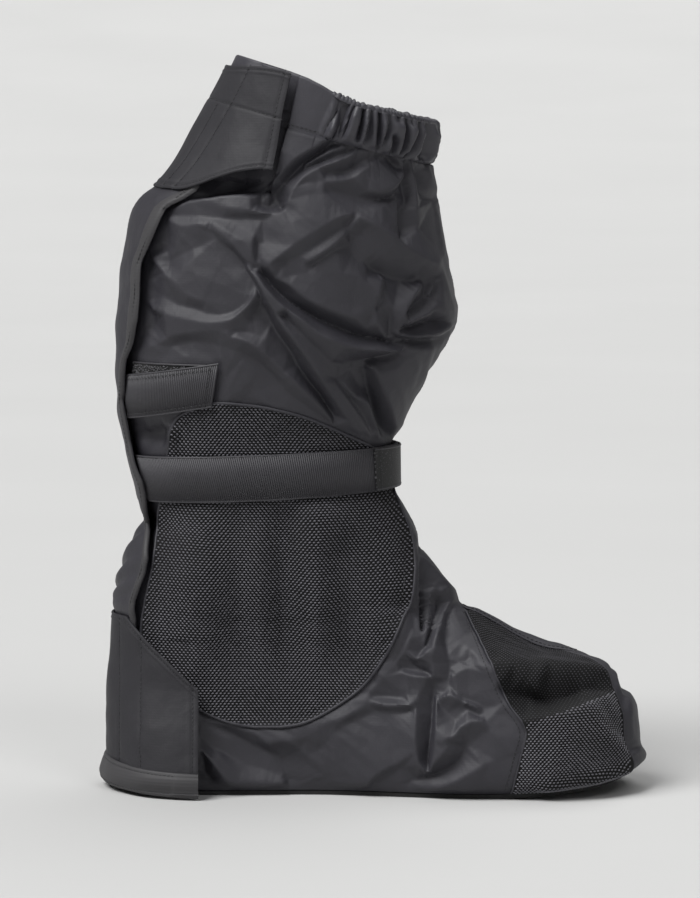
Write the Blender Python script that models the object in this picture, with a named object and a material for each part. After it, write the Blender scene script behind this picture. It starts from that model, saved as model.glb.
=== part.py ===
"""Rain overshoe for riding boots: a tall shell of coated nylon on a thin rubber sole.

Left shoe, standing on its sole. The toe points along +X, +Z is up, and the inner side, which carries the
closing tab, the ankle strap and the woven guards, faces -Y. Sizes are in millimetres up to the mesh builder.
"""

import math
from collections import namedtuple

import bmesh
import bpy
from mathutils import Vector

MM = 0.001

# Driving sizes of the whole shoe
LENGTH = 304.0
HEIGHT = 400.0
BALL_WIDTH = 110.0
HEEL_SHARE = 0.78
TOE_SPRING = 10.0
SPRING_START = 50.0
SPRING_FADE_HEIGHT = 60.0

# The foot's outline from above: where the heel's width ends, where the ball's starts, and its sideways curve
HEEL_END_X, BALL_START_X = -40.0, 55.0
LAST_CURVE = 5.0
WAIST_X, WAIST_SPREAD = -20.0, 50.0
TOE_CURVE_START_X = 20.0

# Sheet thicknesses and the clearance between stacked sheets
GAP = 0.5
WALL = 1.2
SOLE_THICK = 2.3
SOLE_INSET = 0.6
SOLE_TIP_SHARE = 0.035
PANEL_THICK = 1.0
WEBBING_THICK = 1.6
FLAP_THICK = 1.2
HEM_THICK = 2.4
CASING_THICK = 1.8
PILE_THICK = 1.7
PATCH_THICK = 1.2
BINDING_THICK = 1.2

# Widths of the webbing and tapes
WEBBING_WIDTH = 25.0
PILE_TAPE_WIDTH = 26.0

# How far each layer stands off the upper
PANEL_OUT = GAP + PANEL_THICK
STRAP_OFF = PANEL_OUT + GAP
PILE_TAPE_OFF = STRAP_OFF + WEBBING_THICK + GAP
TAB_OFF = GAP + PATCH_THICK + GAP
FLAP_NEAR_OFF = TAB_OFF + WEBBING_THICK + 2 * GAP
FLAP_FAR_OFF = 2 * GAP
TOP_FLAP_FAR_OFF = GAP + CASING_THICK + GAP

# One row for each section of the upper, from the sole seam to the rim of the collar. A section is a flat ring
# from its back point to its front point. The x and rounding columns are percent of LENGTH, z is percent of
# HEIGHT, and half_width is percent of BALL_WIDTH. point is the bluntness of the front end: 0.5 is an ellipse
# and 0.75 is the roof shape of the vamp. foot says how much of the foot's outline the ring follows.
Section = namedtuple("Section", "back_x back_z front_x front_z half_width back_round front_round point foot")
SECTIONS = [
    Section(-46.7, 0.7, 46.9, 0.7, 45.5, 15.1, 20.4, 0.50, 1.00),
    Section(-47.4, 2.0, 48.8, 1.4, 48.2, 15.1, 20.4, 0.50, 1.00),
    Section(-47.5, 3.2, 49.8, 2.3, 49.5, 15.1, 20.4, 0.50, 1.00),
    Section(-47.5, 5.0, 48.8, 4.4, 50.0, 15.1, 20.4, 0.50, 1.00),
    Section(-47.5, 8.0, 48.4, 7.8, 49.5, 15.1, 20.4, 0.50, 1.00),
    Section(-47.5, 11.0, 47.8, 10.9, 47.7, 15.1, 20.4, 0.50, 1.00),
    Section(-47.4, 14.0, 45.9, 13.5, 45.5, 15.5, 20.4, 0.52, 1.00),
    Section(-47.1, 16.5, 43.9, 16.2, 43.6, 15.8, 21.1, 0.56, 0.95),
    Section(-46.9, 18.2, 41.4, 17.6, 42.7, 16.1, 21.7, 0.63, 0.90),
    Section(-46.8, 19.5, 37.2, 18.4, 41.8, 16.4, 23.0, 0.70, 0.85),
    Section(-46.6, 20.8, 31.7, 19.8, 41.4, 16.8, 24.7, 0.74, 0.80),
    Section(-46.3, 22.2, 26.6, 21.5, 41.4, 17.1, 25.0, 0.76, 0.70),
    Section(-46.0, 24.0, 20.9, 23.4, 41.4, 17.4, 24.3, 0.75, 0.60),
    Section(-45.6, 26.0, 15.8, 25.2, 41.8, 17.8, 23.4, 0.68, 0.45),
    Section(-44.9, 29.2, 13.8, 28.2, 42.3, 18.1, 22.4, 0.60, 0.30),
    Section(-42.8, 33.0, 9.9, 32.2, 41.8, 18.8, 21.7, 0.54, 0.15),
    Section(-39.7, 36.5, 7.1, 36.5, 40.9, 19.1, 21.4, 0.50, 0.00),
    Section(-41.0, 40.2, 4.7, 40.0, 40.9, 19.7, 21.7, 0.50, 0.00),
    Section(-42.4, 44.5, 2.7, 44.0, 41.8, 20.4, 22.4, 0.50, 0.00),
    Section(-43.9, 49.2, 4.0, 48.5, 44.5, 21.4, 23.7, 0.50, 0.00),
    Section(-44.7, 54.2, 7.1, 53.5, 49.1, 23.0, 25.7, 0.50, 0.00),
    Section(-44.9, 60.0, 11.8, 59.5, 53.6, 25.7, 28.9, 0.50, 0.00),
    Section(-45.1, 65.0, 15.0, 65.2, 55.5, 27.6, 30.9, 0.50, 0.00),
    Section(-43.9, 72.0, 13.7, 71.8, 54.5, 26.3, 29.6, 0.50, 0.00),
    Section(-41.8, 79.0, 12.2, 77.5, 52.7, 24.3, 27.6, 0.50, 0.00),
    Section(-34.7, 85.8, 11.3, 81.5, 49.1, 21.1, 23.7, 0.50, 0.00),
    Section(-28.5, 93.9, 10.0, 86.1, 44.5, 17.8, 19.7, 0.50, 0.00),
    Section(-24.2, 100.5, 11.0, 92.0, 45.5, 17.1, 18.4, 0.50, 0.00),
]
RIM = len(SECTIONS) - 1
CASING_BASE = RIM - 1.0
SHAFT_RING = 18
RING_STEPS = 44

# The free edge of the back placket on the inner side: height and x
EdgePoint = namedtuple("EdgePoint", "z x")
PLACKET_EDGE = [
    EdgePoint(86.0, -128.0),
    EdgePoint(106.0, -126.0),
    EdgePoint(128.0, -118.0),
    EdgePoint(150.0, -117.5),
    EdgePoint(172.0, -120.5),
    EdgePoint(194.0, -128.0),
    EdgePoint(216.0, -132.0),
    EdgePoint(238.0, -129.0),
    EdgePoint(260.0, -123.0),
    EdgePoint(292.0, -120.5),
    EdgePoint(319.0, -108.5),
    EdgePoint(330.0, -92.0),
]
FLAP_FAR_WRAP = 28.0
FLAP_RISE_START_Z, FLAP_RISE_END_Z = 300.0, 330.0
PLACKET_TOP_RING = 24.42
PLACKET_ROWS = 20
PLACKET_COLUMNS = 8

# The closing flap at the collar
TOP_FLAP_BASE_RING = 24.5
TOP_FLAP_CORNER_RING = 25.1
TOP_FLAP_TOP_RING = 26.8
TOP_FLAP_BASE_X = -51.0
TOP_FLAP_TOP_X = -40.0
TOP_FLAP_CORNER_SHARE = 0.55
TOP_FLAP_LIFT = 5.0
TOP_FLAP_LIFT_START, TOP_FLAP_LIFT_END = 0.4, 0.9

# The heel flap, whose shares run from its far seam to its free edge, and its hem
HEEL_FLAP_TOP = 97.0
HEEL_FLAP_EDGE_X = -94.5
HEEL_SLOPE_START = 0.58
HEEL_FLAP_CORNER_Z = 58.5
HEM_TOP_BACK, HEM_TOP_NEAR = 20.0, 13.5
HEM_BASE_BACK, HEM_BASE_NEAR = 5.5, 1.0
HEM_FLARE, HEM_FLARE_SHARE = 5.0, 0.35
CORNER_FLARE, CORNER_FLARE_SHARE = 9.0, 0.5
HEEL_COLUMNS = 12

# The woven side guard: height, back edge and front edge, and the rings that it lies between
SIDE_PANEL_RINGS = (4, 21)
PanelRow = namedtuple("PanelRow", "z back_x front_x")
SIDE_PANEL = [
    PanelRow(39.0, -66.0, -50.0),
    PanelRow(48.0, -94.0, -24.0),
    PanelRow(59.0, -107.5, -6.5),
    PanelRow(73.0, -121.0, 4.5),
    PanelRow(87.0, -126.0, 12.5),
    PanelRow(108.0, -123.0, 20.0),
    PanelRow(125.0, -119.0, 21.5),
    PanelRow(141.0, -116.5, 19.5),
    PanelRow(160.0, -115.0, 12.5),
    PanelRow(174.0, -113.5, 8.5),
    PanelRow(187.0, -110.5, 3.0),
    PanelRow(197.0, -108.5, -12.0),
    PanelRow(207.5, -105.0, -33.5),
    PanelRow(213.0, -95.5, -52.5),
    PanelRow(216.5, -87.0, -76.0),
]

# The woven toe guard by ring: its back edge, and how far round the ring its front edge is from the ridge
TOE_PANEL_RINGS = (0, 14)
ToeRow = namedtuple("ToeRow", "ring back_x front_arc")
TOE_PANEL = [
    ToeRow(0.3, 75.5, 38.0),
    ToeRow(1.2, 76.5, 33.0),
    ToeRow(2.2, 77.5, 31.0),
    ToeRow(3.3, 80.0, 29.0),
    ToeRow(4.5, 83.5, 27.0),
    ToeRow(5.6, 75.5, 24.0),
    ToeRow(6.4, 71.0, 21.0),
    ToeRow(7.2, 67.5, 18.0),
    ToeRow(8.0, 65.5, 14.5),
    ToeRow(8.6, 64.0, 10.5),
    ToeRow(9.2, 62.5, 7.4),
    ToeRow(10.0, 60.0, 7.0),
    ToeRow(11.0, 57.0, 7.0),
    ToeRow(12.0, 53.0, 7.0),
    ToeRow(12.4, 51.0, 7.0),
]

# The bound seam along the ridge of the vamp
BINDING_TOE_RING, BINDING_INSTEP_RING = 9.2, 13.2
BINDING_HALF_WIDTH = 5.0

# A tape runs between two turns; middle gives the height of its middle line at an x
Tape = namedtuple("Tape", "start end middle width off thickness")
TAPE_TURN_STEP = 0.1
TAPE_STRIPS = 2

# Ankle strap and its pile tape
STRAP_BACK_X, STRAP_BACK_Z = -123.5, 173.0
STRAP_FRONT_X, STRAP_FRONT_Z = 12.0, 178.5
STRAP_FAR_WRAP = 26.0
PILE_TAPE_START_X = 1.5
PILE_TAPE_FAR_WRAP = 62.0

# Closing tab and the pile patch under it: x and height at the back end and at the free end
TAB_BACK_X, TAB_BACK_Z = -132.5, 217.5
TAB_FREE_X, TAB_FREE_Z = -84.0, 226.0
TAB_WIDTH = 23.5
PATCH_BACK_X, PATCH_FREE_X, PATCH_Z, PATCH_WIDTH = -129.5, -86.5, 227.5, 19.0

# Gathers of the elastic collar: they fill the front of the ring and fade out towards the back
GATHER_COUNT = 32
GATHER_DEPTH = 1.8
GATHER_START_X, GATHER_FULL_X = -18.0, -2.0
CASING_ROWS = 2

# Colours in linear light, with roughness
MATERIALS = {
    "coated_nylon": ((0.014, 0.014, 0.016), 0.42),
    "woven_guard": ((0.012, 0.012, 0.013), 0.70),
    "webbing": ((0.016, 0.016, 0.016), 0.62),
    "pile_tape": ((0.010, 0.010, 0.010), 0.90),
    "sole_rubber": ((0.010, 0.010, 0.010), 0.80),
}


def smooth(edge_0, edge_1, value):
    """0 before edge_0, 1 after edge_1, and an S curve between."""
    t = min(1.0, max(0.0, (value - edge_0) / (edge_1 - edge_0)))
    return t * t * (3.0 - 2.0 * t)


def mix(a, b, share):
    return a + (b - a) * share


def through(values, place):
    """A smooth curve through evenly spaced values, read at a fractional index."""
    i = min(len(values) - 2, max(0, int(math.floor(place))))
    t = place - i
    p1, p2 = values[i], values[i + 1]
    p0 = values[i - 1] if i > 0 else 2 * p1 - p2
    p3 = values[i + 2] if i + 2 < len(values) else 2 * p2 - p1
    slope_1, slope_2 = (p2 - p0) / 2, (p3 - p1) / 2
    return (
        p1 * (2 * t**3 - 3 * t**2 + 1)
        + slope_1 * (t**3 - 2 * t**2 + t)
        + p2 * (3 * t**2 - 2 * t**3)
        + slope_2 * (t**3 - t**2)
    )


def along(points, key, value):
    """A table of named rows, read at one column's value with straight lines between the rows."""
    if getattr(points[0], key) >= value:
        return points[0]
    for low, high in zip(points, points[1:]):
        if getattr(high, key) >= value:
            share = (value - getattr(low, key)) / (getattr(high, key) - getattr(low, key))
            return type(low)(*(mix(a, b, share) for a, b in zip(low, high)))
    return points[-1]


COLUMNS = [list(column) for column in zip(*SECTIONS)]
UNITS = Section(
    LENGTH / 100, HEIGHT / 100, LENGTH / 100, HEIGHT / 100, BALL_WIDTH / 100, LENGTH / 100, LENGTH / 100, 1, 1
)


def section_at(ring):
    return Section(*(through(column, ring) * unit for column, unit in zip(COLUMNS, UNITS)))


def toe_spring(x, height):
    """How far the toe's lower edge is lifted off the floor."""
    rise = max(0.0, (x - SPRING_START) / (LENGTH / 2 - SPRING_START))
    return TOE_SPRING * rise * rise * max(0.0, 1.0 - height / SPRING_FADE_HEIGHT)


def last_line(x):
    """Sideways place of the foot's centre line: out at the waist, in towards the big toe."""
    waist = LAST_CURVE / 2 * math.exp(-(((x - WAIST_X) / WAIST_SPREAD) ** 2))
    toe = LAST_CURVE * smooth(TOE_CURVE_START_X, LENGTH / 2, x)
    return waist - toe


def half_width_at(section, x):
    """Half the width of a section at x: full in the middle, rounded off at the heel and at the front."""
    outline = HEEL_SHARE + (1 - HEEL_SHARE) * smooth(HEEL_END_X, BALL_START_X, x)
    width = section.half_width * mix(1.0, outline, section.foot)
    back = min(1.0, max(0.0, (x - section.back_x) / section.back_round))
    front = min(1.0, max(0.0, (section.front_x - x) / section.front_round))
    return width * (1 - (1 - back) ** 2) ** 0.5 * (1 - (1 - front) ** 2) ** section.point


def skin(ring, turn):
    """A point of the upper's outside. turn is 0 in front and pi at the back, by way of the outer side."""
    section = section_at(ring)
    share = (1 + math.cos(turn)) / 2
    x = mix(section.back_x, section.front_x, share)
    z = mix(section.back_z, section.front_z, share)
    side = 1.0 if math.sin(turn) >= 0 else -1.0
    y = last_line(x) * section.foot + side * half_width_at(section, x)
    return Vector((x, y, z + toe_spring(x, z)))


def normal(ring, turn):
    """The outward direction of the upper's outside."""
    step_turn, step_ring = 0.004, 0.02
    lower, upper = max(0.0, ring - step_ring), min(RIM, ring + step_ring)
    around = skin(ring, turn + step_turn) - skin(ring, turn - step_turn)
    up = skin(upper, turn) - skin(lower, turn)
    return around.cross(up).normalized()


def shell_rings():
    """The rings of the upper's mesh: one for each section, and one more between them up the shaft."""
    return sorted([*range(RIM + 1), *(ring + 0.5 for ring in range(SHAFT_RING, RIM))])


RINGS = shell_rings()
SHELL = [[skin(ring, 2 * math.pi * j / RING_STEPS) for j in range(RING_STEPS)] for ring in RINGS]


def facet(ring, turn):
    """The same place on the faceted shell, so that what lies on it clears the facets."""
    i = min(len(RINGS) - 2, max(k for k, low in enumerate(RINGS) if low <= max(ring, 0.0)))
    up = (ring - RINGS[i]) / (RINGS[i + 1] - RINGS[i])
    place = (turn / (2 * math.pi) * RING_STEPS) % RING_STEPS
    j = int(place)
    k = (j + 1) % RING_STEPS
    low = SHELL[i][j].lerp(SHELL[i][k], place - j)
    high = SHELL[i + 1][j].lerp(SHELL[i + 1][k], place - j)
    return low.lerp(high, up)


def lifted(ring, turn, off):
    return facet(ring, turn) + normal(ring, turn) * off


def ring_at_height(turn, z):
    """The ring that passes through height z at this turn."""
    low, high = 0.0, float(RIM)
    for _ in range(30):
        middle = (low + high) / 2
        if skin(middle, turn).z < z:
            low = middle
        else:
            high = middle
    return (low + high) / 2


def inner_turn(ring, x):
    """The turn on the inner side where this ring has this x."""
    section = section_at(ring)
    share = (x - section.back_x) / (section.front_x - section.back_x)
    return 2 * math.pi - math.acos(min(1.0, max(-1.0, 2 * share - 1)))


def inner_place(x, z):
    """Ring and turn of a place given in the side view of the inner side."""
    turn = 1.5 * math.pi
    for _ in range(6):
        ring = ring_at_height(turn, z)
        turn = inner_turn(ring, x)
    return ring, turn


def turn_by_arc(ring, start_turn, arc):
    """Walks a distance along a ring from a turn. Positive goes to larger turns."""
    step = math.copysign(0.01, arc)
    turn, walked = start_turn, 0.0
    here = skin(ring, turn)
    while walked < abs(arc):
        there = skin(ring, turn + step)
        span = (there - here).length
        if walked + span >= abs(arc):
            return turn + step * (abs(arc) - walked) / span
        walked, turn, here = walked + span, turn + step, there
    return turn


def make_material(name):
    colour, roughness = MATERIALS[name]
    material = bpy.data.materials.new(name)
    material.use_nodes = True
    shader = material.node_tree.nodes["Principled BSDF"]
    shader.inputs["Base Color"].default_value = (*colour, 1.0)
    shader.inputs["Roughness"].default_value = roughness
    shader.inputs["Metallic"].default_value = 0.0
    return material


def sheet(name, rows, material, thickness, outward=True, closed=False):
    """A sheet of even thickness through a grid of points. Rows go up, and columns go round with the turn."""
    mesh = bpy.data.meshes.new(name)
    shape = bmesh.new()
    grid = [[shape.verts.new(point * MM) for point in row] for row in rows]
    columns = len(rows[0])
    for low, high in zip(grid, grid[1:]):
        for j in range(columns if closed else columns - 1):
            k = (j + 1) % columns
            shape.faces.new((low[j], low[k], high[k], high[j]))
    shape.to_mesh(mesh)
    shape.free()
    mesh.shade_smooth()
    mesh.materials.append(material)
    part = bpy.data.objects.new(name, mesh)
    bpy.context.scene.collection.objects.link(part)
    wall = part.modifiers.new("wall", "SOLIDIFY")
    wall.thickness = thickness * MM
    wall.offset = 1.0 if outward else -1.0
    wall.use_even_offset = True
    part.parent = bpy.data.objects["overshoe"]
    return part


def make_upper(material):
    """The nylon shell: open at the collar and underneath."""
    sheet("upper", SHELL, material, WALL, outward=False, closed=True)


def make_sole(material):
    """A thin moulded sheet with a flat tread from heel to ball and a lifted toe."""
    stations, strips = 36, 4
    section = section_at(0)
    rows = []
    for j in range(strips + 1):
        side = mix(1.0, -1.0, j / strips)
        row = []
        for i in range(stations + 1):
            share = (1 - math.cos(math.pi * mix(SOLE_TIP_SHARE, 1 - SOLE_TIP_SHARE, i / stations))) / 2
            seam_x = mix(section.back_x, section.front_x, share)
            x = mix(section.back_x + SOLE_INSET, section.front_x - SOLE_INSET, share)
            y = last_line(x) + side * (half_width_at(section, seam_x) - SOLE_INSET)
            row.append(Vector((x, y, toe_spring(x, section.back_z))))
        rows.append(row)
    sheet("sole", rows, material, SOLE_THICK, outward=False)


def make_collar_casing(material):
    """The sewn channel round the rim, gathered by its elastic at the front."""
    rows = []
    for i in range(CASING_ROWS + 1):
        ring = mix(CASING_BASE + 0.05, RIM, i / CASING_ROWS)
        row = []
        for j in range(2 * GATHER_COUNT):
            turn = math.pi * j / GATHER_COUNT
            gathered = smooth(GATHER_START_X, GATHER_FULL_X, skin(ring, turn).x)
            row.append(lifted(ring, turn, GAP + GATHER_DEPTH * gathered * (j % 2)))
        rows.append(row)
    sheet("collar_casing", rows, material, CASING_THICK, closed=True)


def shell_patch(name, between, material, thickness):
    """A sheet laid on the facets of the upper's inner side, between two rings."""
    low, high = between
    turns = [2 * math.pi * j / RING_STEPS for j in range(RING_STEPS // 2 + 1, RING_STEPS)]
    rows = [[lifted(ring, turn, GAP) for turn in turns] for ring in RINGS if low <= ring <= high]
    return sheet(name, rows, material, thickness)


def trim(part, outline):
    """Keeps what lies inside an outline of x and z, given anticlockwise as seen from the inner side."""
    shape = bmesh.new()
    near = [shape.verts.new(Vector((x, -BALL_WIDTH, z)) * MM) for x, z in outline]
    far = [shape.verts.new(Vector((x, 0.0, z)) * MM) for x, z in outline]
    shape.faces.new(near)
    shape.faces.new(far[::-1])
    for j in range(len(outline)):
        k = (j + 1) % len(outline)
        shape.faces.new((near[k], near[j], far[j], far[k]))
    mesh = bpy.data.meshes.new(part.name + "_outline")
    shape.to_mesh(mesh)
    shape.free()
    cutter = bpy.data.objects.new(part.name + "_outline", mesh)
    bpy.context.scene.collection.objects.link(cutter)
    cutter.hide_render = True
    cutter.display_type = "WIRE"
    cut = part.modifiers.new("outline", "BOOLEAN")
    cut.operation = "INTERSECT"
    cut.solver = "EXACT"
    cut.object = cutter


def make_side_panel(material):
    panel = shell_patch("side_panel", SIDE_PANEL_RINGS, material, PANEL_THICK)
    front = [(row.front_x, row.z) for row in SIDE_PANEL]
    back = [(row.back_x, row.z) for row in SIDE_PANEL]
    trim(panel, front + back[::-1])


def make_toe_panel(material):
    panel = shell_patch("toe_panel", TOE_PANEL_RINGS, material, PANEL_THICK)
    front = [skin(row.ring, turn_by_arc(row.ring, 2 * math.pi, -row.front_arc)) for row in TOE_PANEL]
    back = [skin(row.ring, inner_turn(row.ring, row.back_x)) for row in TOE_PANEL]
    trim(panel, [(point.x, point.z) for point in front + back[::-1]])


def make_vamp_binding(material):
    count, halves = 10, 2
    rows = []
    for i in range(count + 1):
        ring = mix(BINDING_TOE_RING, BINDING_INSTEP_RING, i / count)
        row = []
        for j in range(-halves, halves + 1):
            turn = turn_by_arc(ring, 0.0, BINDING_HALF_WIDTH * j / halves) if j else 0.0
            row.append(lifted(ring, turn, GAP))
        rows.append(row)
    sheet("vamp_binding", rows, material, BINDING_THICK)


def flap_off(share, z):
    """How far the rear flap stands off the upper, from its far seam to its free edge."""
    far = mix(FLAP_FAR_OFF, TOP_FLAP_FAR_OFF, smooth(FLAP_RISE_START_Z, FLAP_RISE_END_Z, z))
    return mix(far, FLAP_NEAR_OFF, smooth(0.0, 1.0, share))


def make_back_placket(material):
    """The narrow strip that runs down the back between the collar flap and the heel flap."""
    base_ring = ring_at_height(math.pi, HEEL_FLAP_TOP + GAP)
    rows = []
    for i in range(PLACKET_ROWS + 1):
        ring = mix(base_ring, PLACKET_TOP_RING, i / PLACKET_ROWS)
        far_turn = turn_by_arc(ring, math.pi, -FLAP_FAR_WRAP)
        edge_turn = math.pi
        for _ in range(4):
            edge = along(PLACKET_EDGE, "z", skin(ring, edge_turn).z)
            edge_turn = inner_turn(ring, edge.x)
        row = []
        for j in range(PLACKET_COLUMNS + 1):
            share = j / PLACKET_COLUMNS
            turn = mix(far_turn, edge_turn, share)
            row.append(lifted(ring, turn, flap_off(share, skin(ring, turn).z)))
        rows.append(row)
    sheet("back_placket", rows, material, FLAP_THICK)


def make_top_flap(material):
    """The stitched flap that closes the collar, with its lower edge standing free."""
    count, columns = 7, 10
    rows = []
    for i in range(count + 1):
        row = []
        for j in range(columns + 1):
            share = j / columns
            base = mix(TOP_FLAP_BASE_RING, TOP_FLAP_CORNER_RING, smooth(TOP_FLAP_CORNER_SHARE, 1.0, share))
            ring = mix(base, TOP_FLAP_TOP_RING, i / count)
            far_turn = turn_by_arc(ring, math.pi, -FLAP_FAR_WRAP)
            edge_turn = inner_turn(ring, mix(TOP_FLAP_BASE_X, TOP_FLAP_TOP_X, i / count))
            turn = mix(far_turn, edge_turn, share)
            freed = smooth(TOP_FLAP_LIFT_START, TOP_FLAP_LIFT_END, share)
            lift = TOP_FLAP_LIFT * freed * (1 - i / count) ** 2
            row.append(lifted(ring, turn, flap_off(share, HEIGHT) + lift))
        rows.append(row)
    sheet("top_flap", rows, material, FLAP_THICK)


def heel_flap_point(share, z, more=0.0):
    """A point of the heel flap. share runs from the far seam to the free edge."""
    level = max(z, skin(0, math.pi).z)
    ring = ring_at_height(math.pi, level)
    far_turn = turn_by_arc(ring, math.pi, -FLAP_FAR_WRAP)
    turn = mix(far_turn, inner_turn(ring, HEEL_FLAP_EDGE_X), share)
    corner = CORNER_FLARE * smooth(CORNER_FLARE_SHARE, 1.0, share) * max(0.0, 1 - z / HEEL_FLAP_CORNER_Z)
    point = lifted(ring_at_height(turn, level), turn, flap_off(share, z) + more + corner)
    point.z = z
    return point


def heel_shares():
    return [j / HEEL_COLUMNS for j in range(HEEL_COLUMNS + 1)]


def make_heel_flap(material):
    """The wide panel round the heel, cut away in a slope at its front."""
    count = 8
    rows = []
    for i in range(count + 1):
        row = []
        for share in heel_shares():
            slope = max(0.0, (share - HEEL_SLOPE_START) / (1 - HEEL_SLOPE_START))
            top = mix(HEEL_FLAP_TOP, HEEL_FLAP_CORNER_Z, slope)
            base = mix(HEM_TOP_BACK, HEM_TOP_NEAR, share) + GAP
            row.append(heel_flap_point(share, mix(base, top, i / count)))
        rows.append(row)
    sheet("heel_flap", rows, material, FLAP_THICK)


def make_heel_hem(material):
    """The doubled hem of the heel flap. It flares out and drops towards its free corner."""
    count = 3
    rows = []
    for i in range(count + 1):
        row = []
        for share in heel_shares():
            base = mix(HEM_BASE_BACK, HEM_BASE_NEAR, share)
            top = mix(HEM_TOP_BACK, HEM_TOP_NEAR, share)
            flare = HEM_FLARE * smooth(0.0, HEM_FLARE_SHARE, share) * (1 - i / count)
            row.append(heel_flap_point(share, mix(base, top, i / count), flare))
        rows.append(row)
    sheet("heel_hem", rows, material, HEM_THICK)


def band(name, tape, material):
    """A flat tape round the upper, whose middle follows a height given by x."""
    columns = round((tape.end - tape.start) / TAPE_TURN_STEP)
    rows = []
    for i in range(TAPE_STRIPS + 1):
        row = []
        for j in range(columns + 1):
            turn = mix(tape.start, tape.end, j / columns)
            x = skin(ring_at_height(turn, tape.middle(0.0)), turn).x
            z = tape.middle(x) + tape.width * (i / TAPE_STRIPS - 0.5)
            row.append(lifted(ring_at_height(turn, z), turn, tape.off))
        rows.append(row)
    sheet(name, rows, material, tape.thickness)


def strap_middle(x):
    share = (x - STRAP_BACK_X) / (STRAP_FRONT_X - STRAP_BACK_X)
    return mix(STRAP_BACK_Z, STRAP_FRONT_Z, min(1.0, share))


def tab_middle(x):
    return mix(TAB_BACK_Z, TAB_FREE_Z, (x - TAB_BACK_X) / (TAB_FREE_X - TAB_BACK_X))


def patch_middle(x):
    return PATCH_Z


def make_ankle_strap(webbing, pile):
    """Webbing from under the placket across the inner side, and the pile tape that meets it at the front."""
    _, start = inner_place(STRAP_BACK_X, STRAP_BACK_Z)
    ring, tape_start = inner_place(PILE_TAPE_START_X, STRAP_FRONT_Z)
    end = 2 * math.pi + turn_by_arc(ring, 0.0, STRAP_FAR_WRAP)
    tape_end = 2 * math.pi + turn_by_arc(ring, 0.0, PILE_TAPE_FAR_WRAP)
    strap = Tape(start, end, strap_middle, WEBBING_WIDTH, STRAP_OFF, WEBBING_THICK)
    pile_tape = Tape(tape_start, tape_end, strap_middle, PILE_TAPE_WIDTH, PILE_TAPE_OFF, PILE_THICK)
    band("ankle_strap", strap, webbing)
    band("strap_pile_tape", pile_tape, pile)


def make_closing_tab(webbing, pile):
    """The tab that holds the placket shut, and the pile patch that it sticks to."""
    _, tab_start = inner_place(TAB_BACK_X, TAB_BACK_Z)
    _, tab_end = inner_place(TAB_FREE_X, TAB_FREE_Z)
    _, patch_start = inner_place(PATCH_BACK_X, PATCH_Z)
    _, patch_end = inner_place(PATCH_FREE_X, PATCH_Z)
    tab = Tape(tab_start, tab_end, tab_middle, TAB_WIDTH, TAB_OFF, WEBBING_THICK)
    patch = Tape(patch_start, patch_end, patch_middle, PATCH_WIDTH, GAP, PATCH_THICK)
    band("closing_tab", tab, webbing)
    band("tab_pile_patch", patch, pile)


def main():
    for old in list(bpy.data.objects):
        bpy.data.objects.remove(old)
    bpy.context.scene.collection.objects.link(bpy.data.objects.new("overshoe", None))
    nylon, guard, webbing, pile, rubber = (make_material(name) for name in MATERIALS)
    make_sole(rubber)
    make_upper(nylon)
    make_collar_casing(nylon)
    make_side_panel(guard)
    make_toe_panel(guard)
    make_vamp_binding(nylon)
    make_back_placket(nylon)
    make_top_flap(nylon)
    make_heel_flap(nylon)
    make_heel_hem(nylon)
    make_ankle_strap(webbing, pile)
    make_closing_tab(webbing, pile)


main()
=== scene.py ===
import math

import bpy
import numpy as np
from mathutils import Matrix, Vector
from mathutils.geometry import delaunay_2d_cdt


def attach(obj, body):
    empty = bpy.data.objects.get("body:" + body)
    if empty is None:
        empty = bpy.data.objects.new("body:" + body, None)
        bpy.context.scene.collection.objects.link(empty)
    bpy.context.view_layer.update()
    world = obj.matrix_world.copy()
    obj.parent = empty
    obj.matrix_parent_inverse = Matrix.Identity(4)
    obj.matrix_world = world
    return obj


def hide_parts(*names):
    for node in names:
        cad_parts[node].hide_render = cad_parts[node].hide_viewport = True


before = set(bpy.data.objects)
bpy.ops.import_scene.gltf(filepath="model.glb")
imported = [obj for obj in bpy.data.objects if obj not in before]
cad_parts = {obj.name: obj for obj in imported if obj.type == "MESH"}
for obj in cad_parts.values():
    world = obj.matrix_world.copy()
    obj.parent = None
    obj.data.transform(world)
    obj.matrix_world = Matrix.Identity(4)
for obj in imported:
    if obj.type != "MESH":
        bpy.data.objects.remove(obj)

# Rain overshoe: satin black nylon on a thin sole. Left shoe, toe along +X, inner side facing -Y.
# All sizes are in mm until a mesh is written.
mm = 0.001
pi = math.pi
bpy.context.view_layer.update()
print("frame loaded,", len(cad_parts), "solids")

# the last and the shaft, as the solids have them
shoe = {
    "length": 304.0, "height": 400.0, "ballWidth": 110.0, "heelShare": 0.78,
    "toeSpring": 10.0, "springStart": 50.0, "springFade": 60.0,
    "heelEnd": -40.0, "ballStart": 55.0,
    "lastCurve": 5.0, "waistX": -20.0, "waistSpread": 50.0, "toeCurveStart": 20.0,
    "wall": 1.2,
}

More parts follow.
